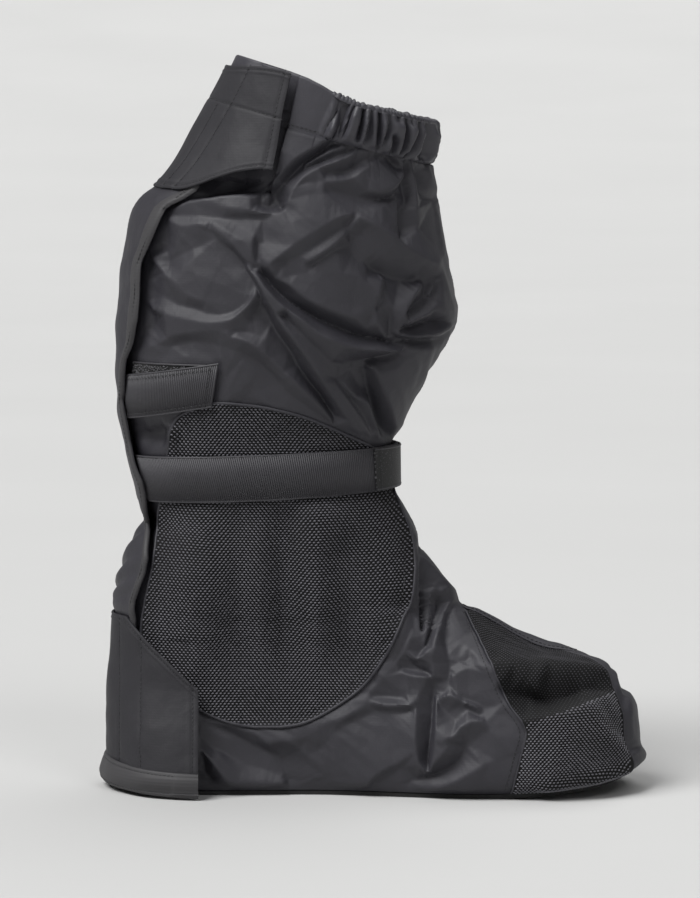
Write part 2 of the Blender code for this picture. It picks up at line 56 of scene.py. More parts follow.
# one row for each section from the sole seam to the rim: back x, back z, front x, front z, half width,
# rounding at the back and at the front, bluntness of the front, share of the foot's outline.
# x and rounding are percent of the length, z of the height, half width of the ball's width.
sections = np.array([
    (-46.7, 0.7, 46.9, 0.7, 45.5, 15.1, 20.4, 0.50, 1.00),
    (-47.4, 2.0, 48.8, 1.4, 48.2, 15.1, 20.4, 0.50, 1.00),
    (-47.5, 3.2, 49.8, 2.3, 49.5, 15.1, 20.4, 0.50, 1.00),
    (-47.5, 5.0, 48.8, 4.4, 50.0, 15.1, 20.4, 0.50, 1.00),
    (-47.5, 8.0, 48.4, 7.8, 49.5, 15.1, 20.4, 0.50, 1.00),
    (-47.5, 11.0, 47.8, 10.9, 47.7, 15.1, 20.4, 0.50, 1.00),
    (-47.4, 14.0, 45.9, 13.5, 45.5, 15.5, 20.4, 0.52, 1.00),
    (-47.1, 16.5, 43.9, 16.2, 43.6, 15.8, 21.1, 0.56, 0.95),
    (-46.9, 18.2, 41.4, 17.6, 42.7, 16.1, 21.7, 0.63, 0.90),
    (-46.8, 19.5, 37.2, 18.4, 41.8, 16.4, 23.0, 0.70, 0.85),
    (-46.6, 20.8, 31.7, 19.8, 41.4, 16.8, 24.7, 0.74, 0.80),
    (-46.3, 22.2, 26.6, 21.5, 41.4, 17.1, 25.0, 0.76, 0.70),
    (-46.0, 24.0, 20.9, 23.4, 41.4, 17.4, 24.3, 0.75, 0.60),
    (-45.6, 26.0, 15.8, 25.2, 41.8, 17.8, 23.4, 0.68, 0.45),
    (-44.9, 29.2, 13.8, 28.2, 42.3, 18.1, 22.4, 0.60, 0.30),
    (-42.8, 33.0, 9.9, 32.2, 41.8, 18.8, 21.7, 0.54, 0.15),
    (-39.7, 36.5, 7.1, 36.5, 40.9, 19.1, 21.4, 0.50, 0.00),
    (-41.0, 40.2, 4.7, 40.0, 40.9, 19.7, 21.7, 0.50, 0.00),
    (-42.4, 44.5, 2.7, 44.0, 41.8, 20.4, 22.4, 0.50, 0.00),
    (-43.9, 49.2, 4.0, 48.5, 44.5, 21.4, 23.7, 0.50, 0.00),
    (-44.7, 54.2, 7.1, 53.5, 49.1, 23.0, 25.7, 0.50, 0.00),
    (-44.9, 60.0, 11.8, 59.5, 53.6, 25.7, 28.9, 0.50, 0.00),
    (-45.1, 65.0, 15.0, 65.2, 55.5, 27.6, 30.9, 0.50, 0.00),
    (-43.9, 72.0, 13.7, 71.8, 54.5, 26.3, 29.6, 0.50, 0.00),
    (-41.8, 79.0, 12.2, 77.5, 52.7, 24.3, 27.6, 0.50, 0.00),
    (-34.7, 85.8, 11.3, 81.5, 49.1, 21.1, 23.7, 0.50, 0.00),
    (-28.5, 93.9, 10.0, 86.1, 44.5, 17.8, 19.7, 0.50, 0.00),
    (-24.2, 100.5, 11.0, 92.0, 45.5, 17.1, 18.4, 0.50, 0.00),
])
rim = len(sections) - 1
casingBase = rim - 1.0
perLength, perHeight, perWidth = shoe["length"] / 100, shoe["height"] / 100, shoe["ballWidth"] / 100
units = np.array([perLength, perHeight, perLength, perHeight, perWidth, perLength, perLength, 1.0, 1.0])
beforeFirst = 2 * sections[0] - sections[1]
afterLast = 2 * sections[-1] - sections[-2]
knotRows = np.vstack([beforeFirst, sections, afterLast]) * units


def smooth(low, high, value):
    t = np.clip((value - low) / (high - low), 0.0, 1.0)
    return t * t * (3.0 - 2.0 * t)


def mix(a, b, share):
    return a + (b - a) * share


def through(p0, p1, p2, p3, t):
    # from p1 to p2 on a smooth curve that p0 and p3 steer
    level = p1 * (2 * t**3 - 3 * t**2 + 1) + p2 * (3 * t**2 - 2 * t**3)
    return level + (p2 - p0) / 2 * (t**3 - 2 * t**2 + t) + (p3 - p1) / 2 * (t**3 - t**2)


def strides(points):
    # length of each step along a line, with 0 for its first point
    return np.concatenate([[0.0], np.linalg.norm(np.diff(points, axis=0), axis=1)])


def runAlong(points):
    return np.cumsum(strides(points))


def softened(line, times):
    # evens out a line of points, or a grid along its rows, in place
    for _ in range(times):
        line[1:-1] = (line[:-2] + 2 * line[1:-1] + line[2:]) / 4
    return line


def sectionAt(ring):
    ring = np.asarray(ring, float)
    i = np.clip(np.floor(ring), 0, rim - 1).astype(int)
    t = (ring - i)[..., None]
    return through(*(knotRows[i + k] for k in range(4)), t)


# how far the gathered rim hangs under the straight line of the solids: x and drop
rimSag = np.array([
    (-46.0, 0.0), (-36.0, 0.6), (-28.0, 2.2), (-17.0, 5.4), (-8.0, 6.2), (10.0, 4.7), (30.0, 3.2),
])


def skin(ring, turn):
    # a point of the plain upper; turn is 0 in front, pi at the back, by way of the outer side
    ring, turn = np.broadcast_arrays(np.asarray(ring, float), np.asarray(turn, float))
    columns = np.moveaxis(sectionAt(ring), -1, 0)
    backX, backZ, frontX, frontZ, half, backRound, frontRound, point, foot = columns
    share = (1 + np.cos(turn)) / 2
    x = mix(backX, frontX, share)
    z = mix(backZ, frontZ, share)
    outline = mix(shoe["heelShare"], 1.0, smooth(shoe["heelEnd"], shoe["ballStart"], x))
    back = np.clip((x - backX) / backRound, 0.0, 1.0)
    front = np.clip((frontX - x) / frontRound, 0.0, 1.0)
    half = half * mix(1.0, outline, foot) * np.sqrt(np.clip(1 - (1 - back) ** 2, 0, 1))
    half = half * np.clip(1 - (1 - front) ** 2, 0, 1) ** point
    waist = shoe["lastCurve"] / 2 * np.exp(-(((x - shoe["waistX"]) / shoe["waistSpread"]) ** 2))
    toe = shoe["lastCurve"] * smooth(shoe["toeCurveStart"], shoe["length"] / 2, x)
    y = (waist - toe) * foot + np.where(np.sin(turn) >= 0, 1.0, -1.0) * half
    spring = np.maximum(0.0, (x - shoe["springStart"]) / (shoe["length"] / 2 - shoe["springStart"]))
    spring = shoe["toeSpring"] * spring**2 * np.maximum(0.0, 1 - z / shoe["springFade"])
    sag = np.interp(x, rimSag[:, 0], rimSag[:, 1]) * smooth(casingBase, rim, ring)
    return np.stack([x, y, z + spring - sag], -1)


def unit(vectors):
    return vectors / np.maximum(np.linalg.norm(vectors, axis=-1, keepdims=True), 1e-9)


def outward(ring, turn):
    around = skin(ring, turn + 0.004) - skin(ring, turn - 0.004)
    up = skin(np.minimum(ring + 0.02, rim), turn) - skin(np.maximum(ring - 0.02, 0.0), turn)
    return unit(np.cross(around, up))


def ringAtHeight(turn, z):
    turn, z = np.broadcast_arrays(np.asarray(turn, float), np.asarray(z, float))
    low, high = np.zeros(z.shape), np.full(z.shape, float(rim))
    for _ in range(17):
        middle = (low + high) / 2
        under = skin(middle, turn)[..., 2] < z
        low = np.where(under, middle, low)
        high = np.where(under, high, middle)
    return (low + high) / 2


def innerTurn(ring, x):
    section = sectionAt(ring)
    share = (x - section[..., 0]) / (section[..., 2] - section[..., 0])
    return 2 * pi - np.arccos(np.clip(2 * share - 1, -1.0, 1.0))


def innerPlace(x, z):
    # ring and turn of a place given in the side view of the inner side
    x, z = np.broadcast_arrays(np.asarray(x, float), np.asarray(z, float))
    turn = np.full(x.shape, 1.5 * pi)
    for _ in range(6):
        ring = ringAtHeight(turn, z)
        turn = innerTurn(ring, x)
    return ring, turn


def turnByArc(rings, startTurn, arcs):
    # walks a distance along each ring; a positive arc goes to larger turns
    rings, arcs = np.broadcast_arrays(np.asarray(rings, float), np.asarray(arcs, float))
    steps = np.linspace(0.0, 1.8, 240)
    found = np.empty(rings.shape)
    for place in np.ndindex(rings.shape):
        way = 1 if arcs[place] >= 0 else -1
        walk = skin(rings[place], startTurn + way * steps)
        found[place] = startTurn + way * np.interp(abs(arcs[place]), runAlong(walk), steps)
    return found


def curveThrough(points, perSpan=6):
    # a smooth line through a few points
    points = np.asarray(points, float)
    wide = np.vstack([2 * points[0] - points[1], points, 2 * points[-1] - points[-2]])
    t = np.linspace(0.0, 1.0, perSpan, endpoint=False)[:, None]
    spans = [through(*four, t) for four in zip(wide, wide[1:], wide[2:], wide[3:])]
    return np.vstack([*spans, points[-1:]])


# Creases: the height of a crest, or the depth of a trough under 0, and its line as (x, z) in millimetres.
# Those of shaft, foot and casing were chosen, and a program turned most of them into millimetres.
# Between neighbouring lines the cloth is a flat facet, as it is in thin cloth that hangs in folds.
# The heights are multiplied by the share that relief, below, gives for that part of the shoe.
shaftCreases = [
    # under the gathered casing
    (1.6, [(-20, 361), (-29, 354), (-37.5, 349), (-47, 341.5), (-54, 334)]),
    (-2.4, [(-18, 359), (-25.5, 353), (-32.5, 348.5), (-40, 343), (-48, 334)]),
    (0.2, [(-14, 353.5), (-21.5, 351.5), (-29, 348), (-35.5, 344.5)]),
    (-1.4, [(-11, 352), (-18.5, 349.5), (-27, 346), (-36.5, 342), (-44, 335.5)]),
    (1.4, [(-7.5, 351.5), (-17.5, 346.5), (-27, 343), (-35.5, 338.5), (-42, 331.5), (-46, 322)]),
    (-1.2, [(-2, 347.5), (-8, 343.5), (-14.5, 340.5), (-24, 340)]),
    (1.2, [(2.5, 346), (-4.5, 342), (-11, 337), (-18.5, 335.5), (-30, 335)]),
    (1.8, [(16.5, 341), (14, 336), (10, 331), (4.5, 329), (-2.5, 329.5)]),
    (-1, [(16.5, 336.5), (14, 331), (9.5, 326.5), (0, 325.5), (-11, 327.5), (-22.5, 330)]),
    (-1.6, [(8.5, 351), (11, 346), (15, 342)]),
    (0.8, [(10.5, 350), (14.5, 346), (17, 342.5)]),
    (-2.2, [(18, 345.5), (17, 336.5), (19, 329), (19, 323)]),
    (1.8, [(20, 346.5), (21, 336.5), (22, 326), (22.5, 317), (24.5, 309.5)]),
    (-1.4, [(23.5, 342), (25, 334), (28, 328), (33.5, 324)]),
    (1.4, [(26.5, 342), (30.5, 335), (34.5, 327)]),
    (-1.6, [(15.5, 321.5), (14.5, 314), (16.5, 307.5)]),
    (0.9, [(13, 325), (12.5, 314.5), (14, 304.5)]),
    (1.4, [(14.5, 303.5), (17.5, 305), (21, 307), (24.5, 309.5)]),
    (1.2, [(-36, 334.5), (-27, 329), (-18.5, 323), (-11, 319.5), (-2.5, 319.5), (8.5, 323)]),
    (-0.4, [(-14.5, 325.5), (-4.5, 323), (7, 325)]),
    (-4, [(-59, 334), (-54, 329.5), (-48.5, 322)]),
    # under the top flap
    (-3, [(-98, 327), (-85, 330), (-68, 331), (-56, 330)]),
    (1.2, [(-109, 320), (-100, 323), (-90, 325), (-81, 327), (-71, 328), (-63, 327)]),
    (-2, [(-62, 324), (-56, 322), (-49, 323)]),
    (1.3, [(-81, 322), (-71, 320), (-62, 319), (-52, 318), (-47, 320)]),
    (-0.6, [(-110, 317), (-98, 317), (-86, 316), (-71, 316), (-59, 316)]),
    (0.7, [(-110, 314), (-102, 311), (-93, 312), (-88, 310)]),
    (-1.2, [(-111, 313), (-112, 301), (-111, 288)]),
    (0.9, [(-120, 294), (-115, 289), (-109, 284), (-104, 278), (-98, 274), (-89, 271)]),
    # the long fold and the one that leaves it
    (-0.5, [(-88, 310), (-82, 303), (-75, 298), (-69, 291), (-64, 284), (-60, 276)]),
    (1.3, [(-85, 310), (-78, 305), (-72, 299), (-67, 293), (-63, 289)]),
    (3.2, [(-67, 289), (-62, 282), (-57, 274), (-49, 261), (-41, 250), (-32, 237), (-24, 224),
     (-17, 212), (-8, 198)]),
    (-2.8, [(-57, 267), (-52, 256), (-44, 244), (-37, 232), (-28, 220), (-21, 209)]),
    (1.3, [(-47, 264), (-43, 259), (-36, 252), (-28, 244), (-20, 236)]),
    (4.4, [(-62, 287), (-57, 279), (-51, 272), (-44, 266), (-37, 261), (-30, 255), (-23, 252),
     (-16, 249), (-7, 247), (4, 246), (15, 245)]),
    (-2.4, [(-59, 286), (-53, 278), (-45, 271), (-37, 266), (-28, 261), (-17, 256), (-7, 252), (4, 250),
     (13, 247)]),
    (1.6, [(-52, 284), (-44, 280), (-37, 274), (-28, 269), (-18, 265), (-10, 262), (-4, 258)]),
    # the peak in front
    (3.4, [(-57, 290), (-49, 296), (-40, 303), (-29, 310), (-18, 316), (-10, 317)]),
    (1.6, [(-47, 292), (-39, 296), (-30, 301), (-22, 307), (-14, 313)]),
    (2.9, [(-37, 291), (-29, 296), (-22, 301), (-13, 309)]),
    (1.2, [(-32, 291), (-25, 296), (-17, 300)]),
    (3.6, [(-10, 317), (-3, 313), (5, 308), (13, 302), (20, 296), (28, 291), (34, 288)]),
    (-0.3, [(-12, 305), (-10, 296), (-3, 290)]),
    (1.3, [(-6, 309), (0, 301), (6, 292)]),
    (-2.2, [(-2, 290), (7, 285), (17, 282), (26, 281)]),
    (1.2, [(-44, 285), (-31, 287), (-17, 286), (-4, 284)]),
    (1.7, [(-62, 309), (-64, 303), (-64, 296), (-62, 289)]),
    (0.2, [(-61, 303), (-61, 295)]),
    (1, [(-58, 303), (-59, 296), (-60, 290)]),
    # small folds at the front edge
    (1.6, [(5, 284), (3, 277), (1, 270), (-1, 263)]),
    (0, [(7, 282), (6, 274), (3, 267)]),
    (1.2, [(5, 269), (1, 263), (4, 256), (7, 251)]),
    (-1.1, [(10, 263), (10, 256), (8, 251)]),
    (1, [(11, 268), (13, 261), (14, 256)]),
    (1.8, [(26, 280), (21, 272), (17, 265), (15, 259)]),
    (-1.9, [(26, 284), (30, 279), (30, 273), (25, 269), (19, 265)]),
    (1.2, [(37, 293), (35, 284), (31, 274)]),
    (-1.3, [(34, 280), (33, 272)]),
    (1.5, [(35, 284), (36, 273), (38, 265), (40, 259)]),
    (1.8, [(16, 259), (23, 261), (30, 264), (35, 270)]),
    (-2.2, [(15, 255), (22, 256), (30, 258), (40, 259)]),
    (1.8, [(14, 253), (22, 252), (29, 252), (37, 254), (45, 257)]),
    (-1.7, [(13, 251), (19, 249), (28, 248), (38, 249)]),
    (0.9, [(17, 246), (26, 244), (36, 244)]),
    # low on the shaft
    (-1.8, [(-16, 237), (-6, 238), (5, 240), (15, 243)]),
    (1.5, [(-2, 235), (4, 233), (13, 235), (17, 241)]),
    (-2.2, [(-12, 236), (-8, 228), (-3, 219)]),
    (-3.4, [(-3, 236), (-1, 225), (2, 213), (5, 203), (8, 192)]),
    (1.6, [(-16, 227), (-10, 220), (-3, 216), (0, 207), (4, 195)]),
    (2.2, [(1, 235), (6, 219), (9, 206), (12, 192)]),
    (2, [(-23, 231), (-15, 221), (-9, 210), (-1, 196)]),
    (0.2, [(-19, 229), (-13, 219), (-6, 210), (-1, 200)]),
    (1.2, [(-48, 234), (-40, 227), (-32, 219), (-25, 211), (-21, 204)]),
    (-1.2, [(-73, 245), (-59, 236), (-47, 223)]),
    (1, [(-81, 228), (-67, 220)]),
    (-3, [(-116, 203), (-115, 189)]),
    (2, [(-108, 204), (-105, 188)]),
    # the calm side over the tab
    (-0.7, [(-113, 273), (-104, 269), (-95, 267), (-90, 265)]),
    (-0.4, [(-90, 265), (-82, 264), (-74, 266), (-68, 270)]),
    (1.2, [(-119, 266), (-108, 263), (-98, 261), (-87, 260), (-77, 261), (-71, 265), (-66, 270),
     (-62, 275)]),
    (0.8, [(-116, 247), (-110, 251), (-104, 253), (-93, 255), (-81, 256), (-72, 260)]),
    (-1.1, [(-110, 246), (-101, 249), (-90, 249), (-81, 247)]),
    (-2.4, [(-124, 271), (-121, 262), (-123, 253)]),
    (-2.4, [(-119, 303), (-122, 291), (-123, 279)]),
    (-1.7, [(-59, 272), (-62, 266), (-66, 260)]),
    (1, [(-76, 252), (-69, 251), (-62, 247), (-55, 241)]),
    (-0.9, [(-73, 255), (-66, 254), (-57, 252)]),
]
footCreases = [
    # the hollow at the ankle
    (1, [(23.5, 140.5), (24.5, 131), (24.5, 119.5), (25, 106), (25.5, 97), (26.5, 89)]),
    (-1.2, [(26, 137), (26, 133), (26, 129.5)]),
    (-2.4, [(26.5, 124), (27, 115.5), (27, 106), (27, 98), (27, 91)]),
    (-2.2, [(28.5, 121), (29.5, 116.5), (30.5, 112.5)]),
    (1.3, [(26.5, 127.5), (32, 121), (38, 113.5), (43.5, 108.5), (48, 106)]),
    (-0.3, [(29, 133), (33.5, 126), (39, 117.5), (44.5, 111)]),
    (-1.6, [(29, 122), (32, 117.5), (35.5, 112.5)]),
    (1, [(36, 106.5), (33.5, 110.5), (31, 111), (30, 105.5), (29.5, 98), (28.5, 91), (27, 87.5)]),
    (0, [(32, 107.5), (32, 99.5), (30.5, 93)]),
    (0.7, [(33.5, 107), (33.5, 100), (32.5, 95.5), (30.5, 89.5), (29, 84.5)]),
    (-1.1, [(35, 105), (36, 101), (34, 95.5), (32, 90.5), (30, 85), (26.5, 79)]),
    (1.4, [(48, 103), (42.5, 103), (39, 100), (37.5, 95), (35.5, 89.5), (33.5, 83.5), (33, 75.5),
     (33, 67)]),
    (-0.9, [(42.5, 98), (41, 93), (40.5, 85.5), (42, 78), (42, 69), (40.5, 59.5), (36, 54.5)]),
    (0.8, [(48.5, 102), (44, 100), (42, 97.5), (45, 92.5), (49, 86)]),
    (-0.8, [(43.5, 80.5), (48.5, 76), (53.5, 77.5)]),
    (0.4, [(43.5, 67), (50, 70.5), (55.5, 72.5)]),
    (0.9, [(50, 84), (57.5, 75), (64, 65), (72, 53.5), (83.5, 38)]),
    # under the hollow
    (1.5, [(23, 75), (27.5, 78), (32.5, 82)]),
    (-0.9, [(21.5, 73.5), (26, 70.5), (31.5, 68)]),
    (-0.6, [(16.5, 71), (23, 69.5), (30.5, 67.5)]),
    (1.3, [(15, 69), (20.5, 67), (26, 66.5), (32, 66.5)]),
    (-2.2, [(33.5, 62.5), (33, 54), (32, 43.5), (31, 32.5), (30, 23.5), (30, 17)]),
    (1.2, [(24, 50.5), (24, 42), (24, 30), (25.5, 20), (29.5, 15.5)]),
    (1, [(35, 54), (34.5, 46), (34.5, 35.5), (33.5, 26.5), (31.5, 17.5)]),
    (0.7, [(35, 54.5), (41.5, 57), (49, 54)]),
    (-0.7, [(36.5, 51), (40.5, 47.5), (45.5, 43)]),
    (-0.5, [(46.5, 56.5), (52, 54.5), (58, 52)]),
    (0.9, [(49.5, 53), (54, 52), (57.5, 50.5)]),
    (-0.8, [(49, 51.5), (53.5, 48.5), (59, 45)]),
    (2.2, [(59.5, 44.5), (53.5, 42.5), (48, 40), (45, 35.5), (41, 33.5), (36.5, 31)]),
    (1.6, [(42, 31.5), (40, 27.5), (37, 24), (33.5, 20.5), (31.5, 16.5)]),
    (-1.6, [(51, 30), (48.5, 23.5), (43.5, 18), (36, 14.5), (27, 11), (16.5, 7.5)]),
    (1.5, [(28.5, 4.5), (36, 7), (43.5, 10.5), (50.5, 14), (57.5, 18), (66.5, 23)]),
    (0.9, [(60.5, 44.5), (64, 40), (68, 37.5), (72, 36), (76.5, 29.5), (80, 26)]),
    (-0.5, [(60, 52.5), (60.5, 46)]),
    (1.6, [(-0.5, 52.5), (7, 50.5), (15, 50.5), (21.5, 51), (24, 52.5)]),
    (-0.6, [(1, 55), (8.5, 55), (17.5, 54.5)]),
    (-0.3, [(2, 47.5), (12.5, 47), (21, 48)]),
    (0.5, [(28, 60.5), (24, 56.5)]),
    (0.5, [(21.5, 59.5), (17.5, 54.5)]),
    # along the guard and the heel
    (1, [(22, 92), (19.5, 83.5), (16, 77), (7.5, 66), (-1, 57.5)]),
    (1.8, [(-1.5, 51), (-8.5, 46.5), (-14.5, 43), (-23, 40.5), (-29.5, 37), (-34.5, 33.5), (-38, 30)]),
    (1.2, [(-38, 30), (-42.5, 30.5), (-48.5, 30.5), (-54.5, 29)]),
    (0.7, [(-12, 41.5), (-19.5, 35.5), (-25, 29.5), (-29, 25.5)]),
    (-2.4, [(-92, 41), (-82, 37), (-73, 32.5), (-66.5, 29), (-59, 25), (-53, 22.5), (-48.5, 17.5),
     (-46.5, 11), (-44.5, 2)]),
    (0.7, [(-72, 37.5), (-62, 33.5), (-55.5, 28)]),
    (-1.6, [(-94, 32.5), (-85, 26), (-77.5, 22), (-71.5, 18), (-65.5, 15.5), (-57, 13.5), (-50, 9.5)]),
    (1.8, [(-94, 26), (-85.5, 17.5), (-78, 9.5), (-72, 6), (-66.5, 4.5), (-58.5, 6), (-48.5, 7)]),
    (0, [(-82, 22), (-77, 16.5), (-72.5, 12)]),
    (-2.2, [(-92, 22), (-90.5, 12), (-85.5, 6.5)]),
    (0.8, [(-17.5, 1), (-9.5, 5), (-3.5, 7), (3, 13), (12.5, 18.5)]),
    (-0.7, [(-0.5, 2.5), (2, 8.5), (10, 14.5), (17.5, 18)]),
    (0.6, [(-39.5, 25.5), (-29.5, 19), (-22, 11)]),
    # the toe
    (3.6, [(82, 43), (102, 46), (119, 50)]),
    (-4.8, [(74, 59), (91, 56), (106, 57), (117, 59)]),
    (1.5, [(70, 78), (80, 70), (88, 61)]),
    (1.1, [(85, 74), (114, 69), (127, 64)]),
    (-0.8, [(60, 92), (82, 82), (103, 75)]),
    (1.0, [(135, 66), (135, 57), (140, 48), (142, 31), (150, 20)]),
    (0.8, [(124, 68), (128, 63)]),
    (-0.6, [(131, 66), (132, 56)]),
    (-2, [(138, 54), (139, 35), (142, 24)]),
    (1.5, [(140, 20), (146, 21), (151, 19)]),
]
# folds of the gathered casing, on the inner side
casingCreases = [
    (-1.4, [(-11, 382), (-12, 378), (-14.5, 370), (-16.5, 365), (-17.5, 360), (-18.5, 357)]),
    (0.9, [(-9, 381.5), (-10.5, 377.5), (-13, 371.5), (-15, 365.5), (-17, 360.5), (-18, 357)]),
    (-1, [(-7, 381.5), (-9, 377.5), (-11.5, 372.5), (-13.5, 367), (-16, 360.5), (-17.5, 357.5)]),
    (1, [(-4, 381), (-6.5, 377), (-10, 372.5), (-12, 367), (-14, 360.5), (-15, 357.5)]),
    (0.6, [(-5, 381), (-6, 377), (-7, 371.5), (-8, 366), (-10.5, 359), (-11.5, 355.5)]),
    (-1.8, [(-4.5, 381.5), (-5, 377.5), (-5.5, 372.5), (-6.5, 367), (-7.5, 360.5), (-8, 357.5)]),
    (1.4, [(-1, 376.5), (-2.5, 373), (-4, 368.5), (-5.5, 363), (-6.5, 358.5), (-7.5, 355)]),
    (-1, [(-0.5, 375.5), (-1.5, 372), (-2, 367), (-3, 362), (-4, 358), (-5, 354.5)]),
    (0.9, [(2, 376.5), (1.5, 373), (1, 367.5), (0.5, 362), (0, 357), (0, 353.5)]),
    (-2.2, [(3.5, 378.5), (3.5, 375), (3, 369), (2.5, 362), (2.5, 354.5), (2.5, 351.5)]),
    (1.3, [(4, 376.5), (5, 373), (5.5, 368.5), (5, 363.5), (4, 358), (3.5, 354.5)]),
    (-0.8, [(9.5, 373.5), (8.5, 369.5), (7.5, 366), (6.5, 362), (5, 357.5), (4.5, 354)]),
    (0.9, [(9.5, 376.5), (10, 373), (10.5, 367), (11, 362), (11.5, 359)]),
    (1.2, [(8.5, 361.5), (7.5, 358.5), (7, 354), (6.5, 351)]),
    (-1.5, [(10, 360.5), (11, 357), (11, 353.5), (10, 350), (9.5, 347)]),
    (-1.4, [(14.5, 377), (14, 373.5), (13.5, 368.5)]),
    (1.2, [(15.5, 376.5), (15, 373), (15, 367.5), (14, 361.5), (13, 355.5), (12, 350), (11.5, 347)]),
    (-1.5, [(16, 375.5), (16.5, 371.5), (17, 366), (16.5, 360), (15.5, 354), (14, 349), (13, 346)]),
    (1.1, [(19, 376), (19, 372.5), (18.5, 367.5), (18, 362), (17, 356.5), (15.5, 350.5), (15, 347.5)]),
    (-0.8, [(20, 375.5), (19.5, 371.5), (19.5, 366.5)]),
    (1.4, [(23, 373), (22, 369), (21, 364), (19.5, 359.5), (17.5, 354), (17, 350.5)]),
    (-1.8, [(25.5, 373), (24.5, 369), (22.5, 364), (21, 359.5), (19, 354.5), (17, 349.5), (16, 346.5)]),
    (1.4, [(26.5, 372), (26, 368.5), (25, 362.5), (23, 357), (21.5, 351.5), (20.5, 348.5)]),
    (-2.4, [(28, 372), (27.5, 368.5), (27, 362), (26, 356.5), (26, 350), (25.5, 346.5)]),
    (1.8, [(30.5, 372), (30.5, 368.5), (30, 360.5), (29.5, 353), (28, 347), (27, 344)]),
    (-1.2, [(34, 365.5), (33, 357), (31.5, 347), (31, 343.5)]),
]
# soft channels in the side guard: line, height, reach to the left and to the right
guardCreases = [
    ([(-49, 52), (-48, 130), (-50, 170), (-48, 212)], -2.6, 9, 8),
    ([(-27, 48), (-29, 108), (-32, 157), (-34, 204)], 2.2, 9, 12),
    ([(-72, 58), (-71, 130), (-70, 208)], -1.4, 8, 8),
    ([(-60, 50), (-60, 130), (-59, 210)], 1.4, 6, 6),
    ([(-12, 62), (-13, 110), (-16, 150)], -1.6, 10, 10),
    ([(4, 76), (6, 110), (4, 150)], 1.2, 8, 8),
    ([(-94, 62), (-96, 120), (-94, 200)], 1.2, 9, 12),
    ([(-110, 66), (-90, 50), (-62, 42), (-30, 46)], -1.6, 8, 5),
]
# a few soft folds on the plain outer side
outerCreases = [
    (3.4, [(-118, 302), (-80, 288), (-40, 292), (2, 303)]),
    (-3.0, [(-110, 292), (-76, 277), (-42, 280)]),
    (4.0, [(-125, 264), (-90, 252), (-45, 238), (-4, 208)]),
    (-2.6, [(-118, 274), (-84, 262), (-40, 252)]),
    (2.8, [(-112, 232), (-72, 222), (-30, 198)]),
    (-2.4, [(-96, 226), (-62, 212), (-34, 194)]),
    (2.8, [(-66, 338), (-32, 326), (10, 330)]),
    (-2.4, [(-58, 322), (-26, 314), (12, 318)]),
    (3.2, [(-40, 270), (-6, 262), (30, 274)]),
    (-2.8, [(-32, 258), (0, 250), (34, 258)]),
    (2.8, [(-110, 64), (-62, 54), (-12, 62), (20, 86), (27, 122)]),
    (-2.4, [(-104, 52), (-62, 42), (-16, 48)]),
    (-3.6, [(30, 16), (34, 56), (38, 96)]),
    (3.0, [(37, 16), (41, 58), (44, 98)]),
    (2.6, [(44, 66), (66, 52), (92, 36)]),
    (2.4, [(48, 88), (70, 72), (98, 60)]),
    (2.2, [(58, 24), (90, 26), (122, 34)]),
    (-2.6, [(-52, 72), (-48, 110), (-52, 152)]),
    (2.4, [(-24, 84), (-26, 120), (-30, 154)]),
    (2.2, [(-86, 84), (-84, 118), (-86, 152)]),
    (-2.2, [(2, 98), (0, 130), (-6, 154)]),
    (2.2, [(-96, 20), (-70, 14), (-40, 20)]),
    (-2.4, [(-20, 10), (4, 22), (26, 38)]),
]


relief = {
    "cell": 0.6, "lowX": -165.0, "highX": 165.0, "lowZ": -8.0, "highZ": 416.0, "soft": 1, "atEnds": 0.45,
    "borderZ": (30.0, 390.0), "borderPoints": 10,
    "shaft": 2.1, "foot": 2.3, "casing": 3.0, "outer": 1.3,
}


